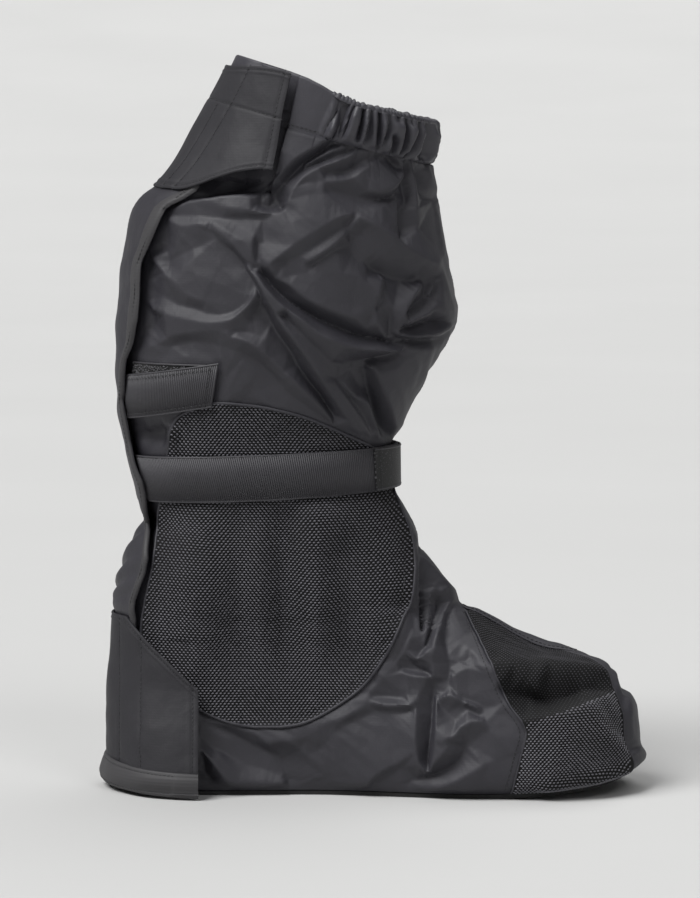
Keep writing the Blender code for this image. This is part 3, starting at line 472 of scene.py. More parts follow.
def reliefMap(creases):
    # heights of the folded cloth in a side view, as a grid of small cells
    points, heights, edges = [], [], []
    for height, path in creases:
        line = curveThrough(path, 3)
        run = np.linspace(0.0, 1.0, len(line))
        swell = mix(relief["atEnds"], 1.0, np.sin(pi * run) ** 0.5)
        edges += [(len(points) + k, len(points) + k + 1) for k in range(len(line) - 1)]
        points += [tuple(p) for p in line]
        heights += list(height * swell)
    for x in np.linspace(relief["lowX"], relief["highX"], relief["borderPoints"]):
        points += [(x, relief["lowZ"]), (x, relief["highZ"])]
        heights += [0.0, 0.0]
    for z in np.linspace(*relief["borderZ"], relief["borderPoints"]):
        points += [(relief["lowX"], z), (relief["highX"], z)]
        heights += [0.0, 0.0]
    flat = [Vector(p) for p in points]
    spots, _, facets, sources, _, _ = delaunay_2d_cdt(flat, edges, [], 0, 1e-4)
    spots = np.array([tuple(p) for p in spots])
    points, heights = np.array(points), np.array(heights)
    level = np.empty(len(spots))
    for k, source in enumerate(sources):
        if not source:               # where two lines cross
            source = np.argsort(((points - spots[k]) ** 2).sum(1))[:3]
        level[k] = heights[list(source)].mean()
    cell = relief["cell"]
    gridX = np.arange(relief["lowX"], relief["highX"], cell)
    gridZ = np.arange(relief["lowZ"], relief["highZ"], cell)
    grid = np.zeros((len(gridZ), len(gridX)))
    for facet in facets:
        a, b, c = spots[list(facet)]
        low = np.floor((np.minimum.reduce([a, b, c]) - (gridX[0], gridZ[0])) / cell).astype(int)
        high = np.ceil((np.maximum.reduce([a, b, c]) - (gridX[0], gridZ[0])) / cell).astype(int) + 1
        low = np.maximum(low, 0)
        x, z = np.meshgrid(gridX[low[0]:high[0]], gridZ[low[1]:high[1]])
        area = (b[0] - a[0]) * (c[1] - a[1]) - (c[0] - a[0]) * (b[1] - a[1])
        if abs(area) < 1e-9 or not x.size:
            continue
        shareB = ((x - a[0]) * (c[1] - a[1]) - (c[0] - a[0]) * (z - a[1])) / area
        shareC = ((b[0] - a[0]) * (z - a[1]) - (x - a[0]) * (b[1] - a[1])) / area
        inside = (shareB >= -0.001) & (shareC >= -0.001) & (shareB + shareC <= 1.001)
        atA, atB, atC = level[list(facet)]
        value = atA * (1 - shareB - shareC) + atB * shareB + atC * shareC
        window = grid[low[1]:high[1], low[0]:high[0]]
        window[inside] = value[inside]
    for direction in (grid, grid.T):
        softened(direction, relief["soft"])
    return grid


def reliefAt(grid, x, z):
    column = np.clip((x - relief["lowX"]) / relief["cell"], 0, grid.shape[1] - 1.001)
    row = np.clip((z - relief["lowZ"]) / relief["cell"], 0, grid.shape[0] - 1.001)
    i, j = row.astype(int), column.astype(int)
    row, column = row - i, column - j
    lower = mix(grid[i, j], grid[i, j + 1], column)
    return mix(lower, mix(grid[i + 1, j], grid[i + 1, j + 1], column), row)


def scaled(creases, share):
    return [(height * relief[share], line) for height, line in creases]


innerMap = reliefMap(scaled(shaftCreases, "shaft") + scaled(footCreases, "foot"))
outerMap = reliefMap(scaled(outerCreases, "outer"))
casingMap = reliefMap(scaled(casingCreases, "casing"))
drape = {"rise": 2.0, "reach": 1.8, "crest": 5.0, "power": 1.3, "most": 11.0}


def channelField(x, z, creases):
    # every channel is a tent with a broad round crest and flanks that run out softly
    crest = drape["crest"]
    lift = np.zeros(x.shape)
    for path, rise, above, below in creases:
        line = curveThrough(path)
        above, below = above * drape["reach"], below * drape["reach"]
        reach = max(above, below) + crest
        low, high = line.min(0) - reach, line.max(0) + reach
        pick = np.flatnonzero((x > low[0]) & (x < high[0]) & (z > low[1]) & (z < high[1]))
        step = np.diff(line, axis=0)
        relX = x[pick, None] - line[:-1, 0]
        relZ = z[pick, None] - line[:-1, 1]
        t = np.clip((relX * step[:, 0] + relZ * step[:, 1]) / (step**2).sum(1), 0.0, 1.0)
        relX = relX - t * step[:, 0]
        relZ = relZ - t * step[:, 1]
        nearest = (relX**2 + relZ**2).argmin(1)
        rows = np.arange(len(pick))
        relX, relZ, t = relX[rows, nearest], relZ[rows, nearest], t[rows, nearest]
        side = step[nearest, 0] * relZ - step[nearest, 1] * relX
        away = (np.sqrt(relX**2 + relZ**2 + crest**2) - crest) / np.where(side > 0, above, below)
        run = (nearest + t) / len(step)
        tent = np.clip(1 - away, 0.0, 1.0) ** drape["power"]
        lift[pick] += drape["rise"] * rise * tent * smooth(0.0, 0.24, run) * smooth(1.0, 0.76, run)
    return lift


knotRandom = np.random.default_rng(14)
knots = knotRandom.uniform(-1.0, 1.0, (32, 32, 32))
softSteps = knotRandom.normal(0.0, 0.11, (7, 3))
tilted = np.linalg.qr(np.random.default_rng(3).normal(size=(3, 3)))[0]


def crumple(points, size, soft=1.0):
    # flat facets between random knots, as in thin cloth that was crushed and opened again
    total = np.zeros(len(points))
    warp = np.sin(points[:, [2, 0, 1]] / (2.3 * size)) * 0.6
    for softStep in softSteps:
        place = (points / size + warp) @ tilted + softStep * soft + 40.0
        base = np.floor(place).astype(int)
        part = place - base
        order = np.argsort(-part, axis=1)
        part = np.take_along_axis(part, order, 1)
        shares = (1 - part[:, 0], part[:, 0] - part[:, 1], part[:, 1] - part[:, 2], part[:, 2])
        total += shares[0] * knots[tuple((base % 32).T)]
        for k in range(3):
            base[np.arange(len(points)), order[:, k]] += 1
            total += shares[k + 1] * knots[tuple((base % 32).T)]
    return total / len(softSteps)


# the elastic's gathers: puffs of uneven width along the front of the rim, large ones with small on them
gathers = {
    "startX": -22.0, "fullX": -16.0, "depth": 5.0, "underDepth": 1.4, "tail": (4.0, 12.0),
    "atSeam": 0.8, "nearPuff": 0.4,
    # pitch, share of the depth and seed: two sizes in the casing, one larger size under it
    "casing": ((5.4, 0.8, 8), (2.7, 0.22, 21)), "under": ((8.5, 1.0, 33),),
}
rimTurns = np.linspace(-pi, pi, 721)
rimRun = runAlong(skin(rim, rimTurns))


def puffRow(pitch, share, seed):
    random = np.random.default_rng(seed)
    count = int(rimRun[-1] / pitch)
    edges = np.concatenate([[0.0], np.cumsum(random.uniform(0.5, 1.7, count))])
    edges = edges * rimRun[-1] / edges[-1]
    return edges, share * random.uniform(0.5, 1.2, count), random.uniform(*gathers["tail"], count)


casingPuffs = [puffRow(*size) for size in gathers["casing"]]
underPuffs = [puffRow(*size) for size in gathers["under"]]


def puffAt(puffRows, turn, height=0.0):
    # how far the gathers stand out at this turn, from 0 to about 1, and how far they run down the shaft
    turn = (np.asarray(turn, float) + pi) % (2 * pi) - pi
    run = np.interp(turn, rimTurns, rimRun)
    total = 0.0
    for number, (edges, depth, tail) in enumerate(puffRows):
        swayed = run + 1.0 * np.sin(height / (7.0 - 2 * number) + run / 6.0)
        k = np.clip(np.searchsorted(edges, swayed, side="right") - 1, 0, len(depth) - 1)
        t = np.clip((swayed - edges[k]) / (edges[k + 1] - edges[k]), 0.0, 1.0)
        total = total + np.sin(pi * t) ** 0.75 * depth[k]
        if number == 0:
            reach = tail[k]
    return total * smooth(gathers["startX"], gathers["fullX"], skin(rim, turn)[..., 0]), reach


# the slit in the collar beside the top flap, as height and x of its front edge
slit = {
    "line": np.array([(330.0, -55.0), (337.0, -53.0), (355.0, -48.0), (373.0, -43.5), (400.0, -37.5)]),
    "depth": 5.0, "frontEdge": (0.7, -0.9), "backEdge": (-30.0, -18.0), "startZ": (328.0, 338.0),
}


def slitDepth(turn, x, z):
    away = x - np.interp(z, slit["line"][:, 0], slit["line"][:, 1])
    side = smooth(*slit["frontEdge"], away) * smooth(*slit["backEdge"], away)
    return slit["depth"] * side * (np.sin(turn) < 0) * smooth(*slit["startZ"], z)


# tapes across the inner side: x and height of the middle line at both ends
strap = {
    "backX": -123.5, "backZ": 173.0, "frontX": 12.0, "frontZ": 178.5, "width": 25.0, "farWrap": 26.0,
    "off": 2.0, "thick": 1.6, "pitch": 1.15,
}
pileTape = {"startX": -4.0, "farWrap": 62.0, "width": 26.0, "off": 4.1, "thick": 1.7}
tab = {
    "backX": -132.5, "backZ": 217.5, "freeX": -84.0, "freeZ": 226.0, "width": 23.5,
    "off": 2.2, "thick": 1.6, "pitch": 1.15,
}
patch = {"backX": -129.5, "freeX": -86.5, "z": 227.5, "width": 19.0, "off": 0.5, "thick": 1.2}


def strapMiddle(x):
    share = (x - strap["backX"]) / (strap["frontX"] - strap["backX"])
    return mix(strap["backZ"], strap["frontZ"], np.minimum(1.0, share))


def tabMiddle(x):
    return mix(tab["backZ"], tab["freeZ"], (x - tab["backX"]) / (tab["freeX"] - tab["backX"]))


# free edge of the strip down the back, as height and x
placketEdge = np.array([
    (86.0, -128.0), (106.0, -126.0), (128.0, -118.0), (150.0, -117.5), (172.0, -120.5), (194.0, -128.0),
    (216.0, -132.0), (238.0, -129.0), (260.0, -123.0), (292.0, -120.5), (319.0, -108.5), (330.0, -92.0),
])


# where the cloth is held flat: the distances over which it comes free of what holds it
held = {
    "strap": (12.0, 24.0), "tab": (22.0, 13.0), "tabX": (-76.0, -88.0), "tabZ": 222.0,
    "flap": (4.0, -4.0), "flapShare": 0.85, "collarZ": 338.0, "collarX": -60.0, "heelZ": 86.0, "heelX": -99.0,
    "soleRings": (0.0, 1.4), "casingRings": (0.02, -0.1),
}


def calmAt(ring, turn, x, z):
    # 0 where the cloth is held flat: under the tapes and flaps, in the casing and at the sole seam
    offStrap = smooth(*held["strap"], np.abs(z - strapMiddle(x)))
    near = np.sin(turn) < 0.1
    underTab = near * smooth(*held["tabX"], x) * smooth(*held["tab"], np.abs(z - held["tabZ"]))
    flapEdge = np.interp(z, placketEdge[:, 0], placketEdge[:, 1])
    flapEdge = np.where(z > held["collarZ"], held["collarX"], flapEdge)
    flapEdge = np.where(z < held["heelZ"], held["heelX"], flapEdge)
    underFlap = smooth(*held["flap"], x - flapEdge)
    atSole = smooth(*held["soleRings"], ring)
    inCasing = smooth(*(casingBase + step for step in held["casingRings"]), ring)
    return offStrap * (1 - underTab) * (1 - held["flapShare"] * underFlap) * atSole * inCasing


crushing = {
    "large": 0.7, "largeSize": 32.0, "folds": ((2.0, 26.0), (1.0, 11.0)), "onGuard": 0.2,
    "atToe": 0.45, "toeX": (155.0, 120.0),
}
# thin folds run down and forward, longer than they are wide
foldFrame = np.array([(0.50, 0.0, -0.31), (0.0, 1.0, 0.0), (0.53, 0.0, 0.85)]).T


def thinFolds(points, size):
    return 0.3 - np.abs(crumple(points @ foldFrame, size, 0.4))


def foldLift(ring, turn):
    # how far the cloth stands out of the plain form, or in
    ring, turn = np.broadcast_arrays(np.asarray(ring, float), np.asarray(turn, float))
    shape = ring.shape
    ring, turn = ring.ravel(), turn.ravel()
    points = skin(ring, turn)
    x, z = points[:, 0], points[:, 2]
    side = np.sin(turn)
    inner = np.flatnonzero(side < 0.5)
    outer = np.flatnonzero(side > 0.0)
    lift = np.zeros(len(ring))
    onGuard = (side < 0) * guardShare(x, z)
    near = reliefAt(innerMap, x[inner], z[inner]) * (1 - onGuard[inner])
    near += channelField(x[inner], z[inner], guardCreases)
    lift[inner] += near * smooth(0.5, 0.0, side[inner])
    lift[outer] += reliefAt(outerMap, x[outer], z[outer]) * smooth(0.0, 0.5, side[outer])
    loose = mix(1.0, crushing["onGuard"], onGuard)
    lift += loose * crushing["large"] * crumple(points, crushing["largeSize"])
    for depth, size in crushing["folds"]:
        lift += loose * depth * thinFolds(points + 7.0, size)
    below = np.maximum(0.0, skin(casingBase, turn)[:, 2] - z)
    puff, tail = puffAt(underPuffs, turn, -below)
    gathered = gathers["underDepth"] * (puff - 0.45 * (puff > 0)) * np.exp(-below / tail)
    lift += gathered * smooth(-1.0, 2.0, below)
    lift = drape["most"] * np.tanh(lift / drape["most"])
    lift = lift * mix(crushing["atToe"], 1.0, smooth(*crushing["toeX"], x))
    lift = lift * calmAt(ring, turn, x, z) - slitDepth(turn, x, z) * 1.1
    return lift.reshape(shape)


# outline of the woven side guard: height, back edge, front edge
sideGuard = {
    "outline": np.array([
        (38.0, -64.0, -50.0), (39.0, -71.0, -42.0), (41.5, -81.0, -33.5), (48.0, -95.0, -21.0),
        (59.0, -108.5, -6.0), (73.0, -121.0, 5.0),
        (87.0, -126.0, 12.5), (108.0, -123.0, 20.0), (125.0, -119.0, 21.5), (141.0, -116.5, 19.5),
        (160.0, -115.0, 12.5), (174.0, -113.5, 8.5), (187.0, -110.5, 3.0), (197.0, -108.5, -12.0),
        (207.5, -105.0, -33.5), (213.0, -95.5, -52.5), (216.5, -87.0, -76.0),
    ]),
    "lean": 0.4, "leanSpan": 44.0, "leanStart": -49.0,
    "off": 0.5, "thick": 0.55, "floatPitch": 2.2, "floatRise": 1.4,
    "floatLength": 1.9, "floatWidth": 1.1, "floatHeight": 1.3, "piping": 0.85, "seamInset": 5.0,
}
sideOutline = curveThrough(sideGuard["outline"], 5)


def guardEdges(z):
    # x of the side guard's back and front edge at a height
    return [np.interp(z, sideOutline[:, 0], sideOutline[:, column]) for column in (1, 2)]


def guardShare(x, z):
    back, front = guardEdges(z)
    inside = smooth(-2.0, 6.0, x - back) * smooth(-2.0, 6.0, front - x)
    return inside * smooth(37.0, 44.0, z) * smooth(219.0, 212.0, z)


def stoodOff(ring, turn, off):
    # a place at a distance from the plain upper
    return skin(ring, turn) + outward(ring, turn) * off[..., None]


def onShoe(ring, turn, off):
    # a place at a distance from the folded cloth
    return stoodOff(ring, turn, foldLift(ring, turn) + off)


print("form ready,", len(shaftCreases + footCreases + guardCreases + outerCreases), "creases")


# Meshes

def gridNormals(grid, closed=False):
    if closed:
        around = np.roll(grid, -1, 1) - np.roll(grid, 1, 1)
    else:
        around = np.gradient(grid, axis=1)
    return unit(np.cross(around, np.gradient(grid, axis=0)))


def gridFaces(rows, columns, first=0, closed=False, flip=False):
    i, j = np.meshgrid(np.arange(rows - 1), np.arange(columns if closed else columns - 1), indexing="ij")
    k = (j + 1) % columns
    corners = (i * columns + j, i * columns + k, (i + 1) * columns + k, (i + 1) * columns + j)
    faces = np.stack([corner.ravel() for corner in corners], 1) + first
    return faces[:, ::-1] if flip else faces


def meshObject(name, points, faces, material, edges=()):
    mesh = bpy.data.meshes.new(name)
    mesh.from_pydata((np.asarray(points) * mm).tolist(), [tuple(edge) for edge in edges],
                     [list(map(int, face)) for face in faces])
    mesh.update()
    if len(faces):
        mesh.shade_smooth()
        mesh.set_sharp_from_angle(angle=math.radians(55))
    if material:
        mesh.materials.append(material)
    piece = bpy.data.objects.new(name, mesh)
    bpy.context.scene.collection.objects.link(piece)
    return piece


def slab(name, base, thick, material, closed=False):
    # a closed sheet on a grid of points: rows go up, columns go round with the turn
    rows, columns = base.shape[:2]
    thick = np.broadcast_to(thick, (rows, columns))
    face = base + gridNormals(base, closed) * thick[..., None]
    count = rows * columns
    points = np.vstack([face.reshape(-1, 3), base.reshape(-1, 3)])
    faces = [*gridFaces(rows, columns, 0, closed), *gridFaces(rows, columns, count, closed, flip=True)]
    last = columns if closed else columns - 1
    for j in range(last):
        k = (j + 1) % columns
        top = (rows - 1) * columns
        faces.append((j, j + count, k + count, k))
        faces.append((top + j, top + k, top + k + count, top + j + count))
    if not closed:
        for i in range(rows - 1):
            a, b = i * columns, (i + 1) * columns
            faces.append((a, b, b + count, a + count))
            a, b = a + columns - 1, b + columns - 1
            faces.append((a, a + count, b + count, b))
    return meshObject(name, points, faces, material)


def seat(piece, slotName, *nodes):
    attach(piece, "root")
    if nodes:
        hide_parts(*nodes)
    return piece


# Materials

def linear(hexColour):
    parts = [int(hexColour[i:i + 2], 16) / 255 for i in (1, 3, 5)]
    return (*(p / 12.92 if p <= 0.04045 else ((p + 0.055) / 1.055) ** 2.4 for p in parts), 1.0)


def perMetre(size):
    # texture scale that gives a pattern of this size in mm
    return 1000.0 / size


waveShare = 1 / 6.3    # with it, the crests of a wave texture lie about two sizes apart


def addNode(tree, kind, settings=None, links=None):
    node = tree.nodes.new(kind)
    for key, value in (settings or {}).items():
        if isinstance(key, int) or key in node.inputs.keys():
            node.inputs[key].default_value = value
        else:
            setattr(node, key, value)
    for key, source in (links or {}).items():
        tree.links.new(source, node.inputs[key])
    return node


def startMaterial(name, colour, roughness):
    material = bpy.data.materials.new(name)
    material.use_nodes = True
    tree = material.node_tree
    shader = tree.nodes["Principled BSDF"]
    shader.inputs["Base Color"].default_value = linear(colour)
    shader.inputs["Roughness"].default_value = roughness
    place = addNode(tree, "ShaderNodeTexCoord").outputs["Object"]
    return material, tree, shader, place


def mottled(tree, shader, place, size, dark, light, roughness=None):
    # uneven dye and wear in soft clouds: two near tones and, where it is given, a span of roughness
    cloud = addNode(tree, "ShaderNodeTexNoise", {"Scale": perMetre(size), "Detail": 4.0}, {"Vector": place})
    tone = addNode(tree, "ShaderNodeMix", {"data_type": "RGBA", 6: linear(dark), 7: linear(light)},
                   {0: cloud.outputs["Fac"]})
    tree.links.new(tone.outputs[2], shader.inputs["Base Color"])
    if roughness:
        low, high = roughness
        wear = addNode(tree, "ShaderNodeMapRange",
                       {"From Min": 0.3, "From Max": 0.7, "To Min": low, "To Max": high},
                       {"Value": cloud.outputs["Fac"]})
        tree.links.new(wear.outputs["Result"], shader.inputs["Roughness"])


def yarnGrain(tree, shader, place, size, detail, strength, depth):
    # the hairs and twist of a yarn: fine lumps of this size in mm, as deep as this in metres
    hairs = addNode(tree, "ShaderNodeTexNoise", {"Scale": perMetre(size), "Detail": detail},
                    {"Vector": place})
    rough = addNode(tree, "ShaderNodeBump", {"Strength": strength, "Distance": depth},
                    {"Height": hairs.outputs["Fac"]})
    tree.links.new(rough.outputs["Normal"], shader.inputs["Normal"])


def coatedNylonTaffeta(name, dark, light, roughness):
    # plain-woven nylon with a thin coat: satin black, a soft grey gleam on every crest, faint fine wrinkles
    material, tree, shader, place = startMaterial(name, dark, roughness)
    mottled(tree, shader, place, 35.0, dark, light, (roughness - 0.06, roughness + 0.06))
    ridged = {"noise_type": "RIDGED_MULTIFRACTAL", "Scale": perMetre(17.0), "Detail": 2.0, "Roughness": 0.4}
    wrinkle = addNode(tree, "ShaderNodeTexNoise", ridged, {"Vector": place})
    soft = addNode(tree, "ShaderNodeBump", {"Strength": 0.6, "Distance": 0.0011},
                   {"Height": wrinkle.outputs["Fac"]})
    fine = addNode(tree, "ShaderNodeTexNoise", {"Scale": perMetre(5.0), "Detail": 2.0}, {"Vector": place})
    creased = addNode(tree, "ShaderNodeBump", {"Strength": 0.4, "Distance": 0.0007},
                      {"Height": fine.outputs["Fac"], "Normal": soft.outputs["Normal"]})
    # taffeta threads 0.15 mm apart, drawn 1.4 mm apart so that a close view still shows a grain
    threads = perMetre(0.7) * waveShare
    warp, weft = (addNode(tree, "ShaderNodeTexWave", {"Scale": threads, "bands_direction": way},
                          {"Vector": place}) for way in ("Z", "X"))
    cloth = addNode(tree, "ShaderNodeMath", {"operation": "MULTIPLY"},
                    {0: warp.outputs["Fac"], 1: weft.outputs["Fac"]})
    grain = addNode(tree, "ShaderNodeBump", {"Strength": 0.12, "Distance": 0.0002},
                    {"Height": cloth.outputs[0], "Normal": creased.outputs["Normal"]})
    tree.links.new(grain.outputs["Normal"], shader.inputs["Normal"])
    shader.inputs["IOR"].default_value = 1.5
    return material


def flatWovenTape():
    # smooth narrow tape that faces an edge: a shade lighter and warmer than the nylon, nearly matt
    material, tree, shader, place = startMaterial("flatWovenTape", "#353436", 0.66)
    mottled(tree, shader, place, 14.0, "#313032", "#3a393b", (0.6, 0.72))
    # cross threads 0.3 mm apart, drawn 1.8 mm apart
    threads = addNode(tree, "ShaderNodeTexWave",
                      {"Scale": perMetre(0.9) * waveShare, "bands_direction": "Z"}, {"Vector": place})
    rough = addNode(tree, "ShaderNodeBump", {"Strength": 0.2, "Distance": 0.0002},
                    {"Height": threads.outputs["Fac"]})
    tree.links.new(rough.outputs["Normal"], shader.inputs["Normal"])
    return material


def heavyWovenPolyester(name, dark, light, roughness):
    # thick textured filament in a coarse plain weave: dull black with a small glint on each float
    material, tree, shader, place = startMaterial(name, dark, roughness)
    mottled(tree, shader, place, 22.0, dark, light, (roughness - 0.06, roughness + 0.06))
    # filaments of 0.03 mm, drawn at 0.6 mm
    yarnGrain(tree, shader, place, 0.6, 2.0, 0.25, 0.0002)
    return material


def ribbedNylonWebbing():
    # narrow-loom nylon with a cord in every rib: even charcoal, dull, a thin line of light on each rib
    material, tree, shader, place = startMaterial("ribbedNylonWebbing", "#2c2c2e", 0.55)
    mottled(tree, shader, place, 12.0, "#302f33", "#3b3a3e", (0.5, 0.62))
    yarnGrain(tree, shader, place, 0.9, 2.0, 0.3, 0.0002)
    return material


def loopedPile(name, dark, light):
    # brushed loops on a knitted ground: a black base, and grey specks in the tone that are painted glints
    # where loops would catch light
    material, tree, shader, place = startMaterial(name, dark, 0.8)
    mottled(tree, shader, place, 2.5, dark, light)
    yarnGrain(tree, shader, place, 0.7, 3.0, 0.5, 0.0003)
    shader.inputs["Sheen Weight"].default_value = 0.15
    return material


def mouldedRubber():
    # pressed rubber sheet: matt black with a fine pebble tread
    material, tree, shader, place = startMaterial("mouldedRubber", "#141414", 0.75)
    mottled(tree, shader, place, 18.0, "#121212", "#1a1a19", (0.68, 0.85))
    pebble = addNode(tree, "ShaderNodeTexVoronoi", {"Scale": perMetre(2.4)}, {"Vector": place})
    rough = addNode(tree, "ShaderNodeBump", {"Strength": 0.6, "Distance": 0.0006, "invert": True},
                    {"Height": pebble.outputs["Distance"]})
    tree.links.new(rough.outputs["Normal"], shader.inputs["Normal"])
    return material


def twistedNylonThread():
    # bonded sewing thread: a touch lighter than the cloth, so that the seams read as fine dotted lines
    material, tree, shader, place = startMaterial("twistedNylonThread", "#232326", 0.5)
    mottled(tree, shader, place, 4.0, "#1b1b1d", "#2a2a2d")
    yarnGrain(tree, shader, place, 0.5, 1.0, 0.4, 0.0001)
    return material


def paintedFloor():
    # matt painted floor: nearly even pale grey
    material, tree, shader, place = startMaterial("paintedFloor", "#bebebd", 0.8)
    mottled(tree, shader, place, 600.0, "#babab9", "#c1c1c0")
    return material


nylon = coatedNylonTaffeta("coatedNylonTaffeta", "#25242a", "#2d2c32", 0.62)
# doubled and pressed flat: duller and a shade darker than the loose cloth
pressedNylon = coatedNylonTaffeta("pressedNylonTaffeta", "#1a191e", "#212025", 0.7)
# pulled into gathers by the elastic: the same cloth in lighter tones, painted light that stands in for the
# brighter gleam on every puff
casingNylonPaintedLight = coatedNylonTaffeta("casingTaffetaPaintedLight", "#302f35", "#3b3a40", 0.52)
tape = flatWovenTape()
paintedShadeGuardGround = heavyWovenPolyester("wovenGroundPaintedShade", "#060607", "#0a0a0b", 0.8)
# between the floats the ground is coloured near black, the yarn's own black deepened as painted shade, and it
# hardly gleams
paintedShadeGuardGround.node_tree.nodes["Principled BSDF"].inputs["Specular IOR Level"].default_value = 0.3
guardFloat = heavyWovenPolyester("wovenGuardFloats", "#525157", "#605f65", 0.45)
# darker threads for the toe guard above the shelf: painted shade
paintedShadeToeThread = heavyWovenPolyester("wovenToeThreadsPaintedShade", "#313035", "#3b3a3f", 0.66)
# lighter than the side guard's floats of the same weave: painted light on the lower toe
paintedLightToeFloat = heavyWovenPolyester("wovenToeFloatsPaintedLight", "#5e5d63", "#6d6c72", 0.42)
webbing = ribbedNylonWebbing()
pileGround = loopedPile("loopedPileGround", "#0c0c0d", "#161617")
# the loops' lighter greys are painted glints
pileLoop = loopedPile("loopedPileWithPaintedGlints", "#29292b", "#5a595d")
rubber = mouldedRubber()
thread = twistedNylonThread()
print("materials ready")


# Geometry node trees: what repeats along a seam, across a tape or over a panel

def startTree(name, *sizes):
    # every tree takes a guide, its sizes and, where something is random, a seed
    tree = bpy.data.node_groups.new(name, "GeometryNodeTree")
    tree.interface.new_socket("Guide", in_out="INPUT", socket_type="NodeSocketGeometry")
    for label in sizes:
        kind = "NodeSocketInt" if label == "Seed" else "NodeSocketFloat"
        tree.interface.new_socket(label, in_out="INPUT", socket_type=kind)
    tree.interface.new_socket("Result", in_out="OUTPUT", socket_type="NodeSocketGeometry")
    return tree, tree.nodes.new("NodeGroupInput").outputs


def endTree(tree, shape, material, placing=None):
    # shades the shape smooth, sets a copy at every point where points are given, and paints it
    done = addNode(tree, "GeometryNodeSetShadeSmooth", links={"Geometry": shape.outputs[0]})
    if placing:
        done = addNode(tree, "GeometryNodeInstanceOnPoints", links={"Instance": done.outputs[0], **placing})
    done = addNode(tree, "GeometryNodeRealizeInstances", links={"Geometry": done.outputs[0]})
    done = addNode(tree, "GeometryNodeSetMaterial", {"Material": material}, {"Geometry": done.outputs[0]})
    addNode(tree, "NodeGroupOutput", links={0: done.outputs[0]})
    return tree


def grow(name, guide, tree, sizes):
    # runs a tree on a guide and keeps the result as a plain mesh
    work = guide.modifiers.new("grow", "NODES")
    work.node_group = tree
    for item in tree.interface.items_tree:
        if item.in_out == "INPUT" and item.name in sizes:
            work[item.identifier] = sizes[item.name]
    graph = bpy.context.evaluated_depsgraph_get()
    made = bpy.data.meshes.new_from_object(guide.evaluated_get(graph))
    made.name = name
    guide.modifiers.remove(work)
    guide.data = made
    guide.name = name
    return guide


def stitchTree(material):
    # short dashes of thread along every line of the guide
    tree, given = startTree("stitches", "Spacing", "Length", "Width", "Seed")
    line = addNode(tree, "GeometryNodeMeshToCurve", links={"Mesh": given["Guide"]})
    spots = addNode(tree, "GeometryNodeCurveToPoints", {"mode": "LENGTH"},
                    {"Curve": line.outputs[0], "Length": given["Spacing"]})
    turn = addNode(tree, "FunctionNodeAlignRotationToVector", {"axis": "X"},
                   {"Vector": spots.outputs["Tangent"]})
    size = addNode(tree, "ShaderNodeCombineXYZ",
                   links={"X": given["Length"], "Y": given["Width"], "Z": given["Width"]})
    dash = addNode(tree, "GeometryNodeMeshUVSphere", {"Segments": 6, "Rings": 4, "Radius": 0.5})
    shaped = addNode(tree, "GeometryNodeTransform",
                     links={"Geometry": dash.outputs["Mesh"], "Scale": size.outputs[0]})
    uneven = addNode(tree, "FunctionNodeRandomValue", {"data_type": "FLOAT", 2: 0.88, 3: 1.1},
                     {"Seed": given["Seed"]})
    return endTree(tree, shaped, material, {
        "Points": spots.outputs["Points"], "Rotation": turn.outputs[0], "Scale": uneven.outputs[1]})


def floatTree(name, material, bar=False):
    # one float or rib at each point of the guide, which says which way is out and which way is along
    tree, given = startTree(name, "Length", "Width", "Height", "Seed")
    out, along = (addNode(tree, "GeometryNodeInputNamedAttribute",
                          {"data_type": "FLOAT_VECTOR", "Name": label}) for label in ("out", "along"))
    stand = addNode(tree, "FunctionNodeAlignRotationToVector", {"axis": "Z"}, {"Vector": out.outputs[0]})
    turn = addNode(tree, "FunctionNodeAlignRotationToVector", {"axis": "X", "pivot_axis": "Z"},
                   {"Rotation": stand.outputs[0], "Vector": along.outputs[0]})
    size = addNode(tree, "ShaderNodeCombineXYZ",
                   links={"X": given["Length"], "Y": given["Width"], "Z": given["Height"]})
    if bar:
        lying = (0.0, pi / 2, 0.0)
        rod = addNode(tree, "GeometryNodeMeshCylinder", {"Vertices": 8, "Radius": 0.5, "Depth": 1.0})
        shape = addNode(tree, "GeometryNodeTransform", {"Rotation": lying}, {"Geometry": rod.outputs["Mesh"]})
    else:
        shape = addNode(tree, "GeometryNodeMeshIcoSphere", {"Radius": 0.5, "Subdivisions": 1})
    shaped = addNode(tree, "GeometryNodeTransform",
                     links={"Geometry": shape.outputs[0], "Scale": size.outputs[0]})
    spread = 0.02 if bar else 0.1
    uneven = addNode(tree, "FunctionNodeRandomValue",
                     {"data_type": "FLOAT", 2: 1 - spread, 3: 1 + spread / 2}, {"Seed": given["Seed"]})
    spots = addNode(tree, "GeometryNodeMeshToPoints", links={"Mesh": given["Guide"]})
    return endTree(tree, shaped, material, {
        "Points": spots.outputs[0], "Rotation": turn.outputs[0], "Scale": uneven.outputs[1]})


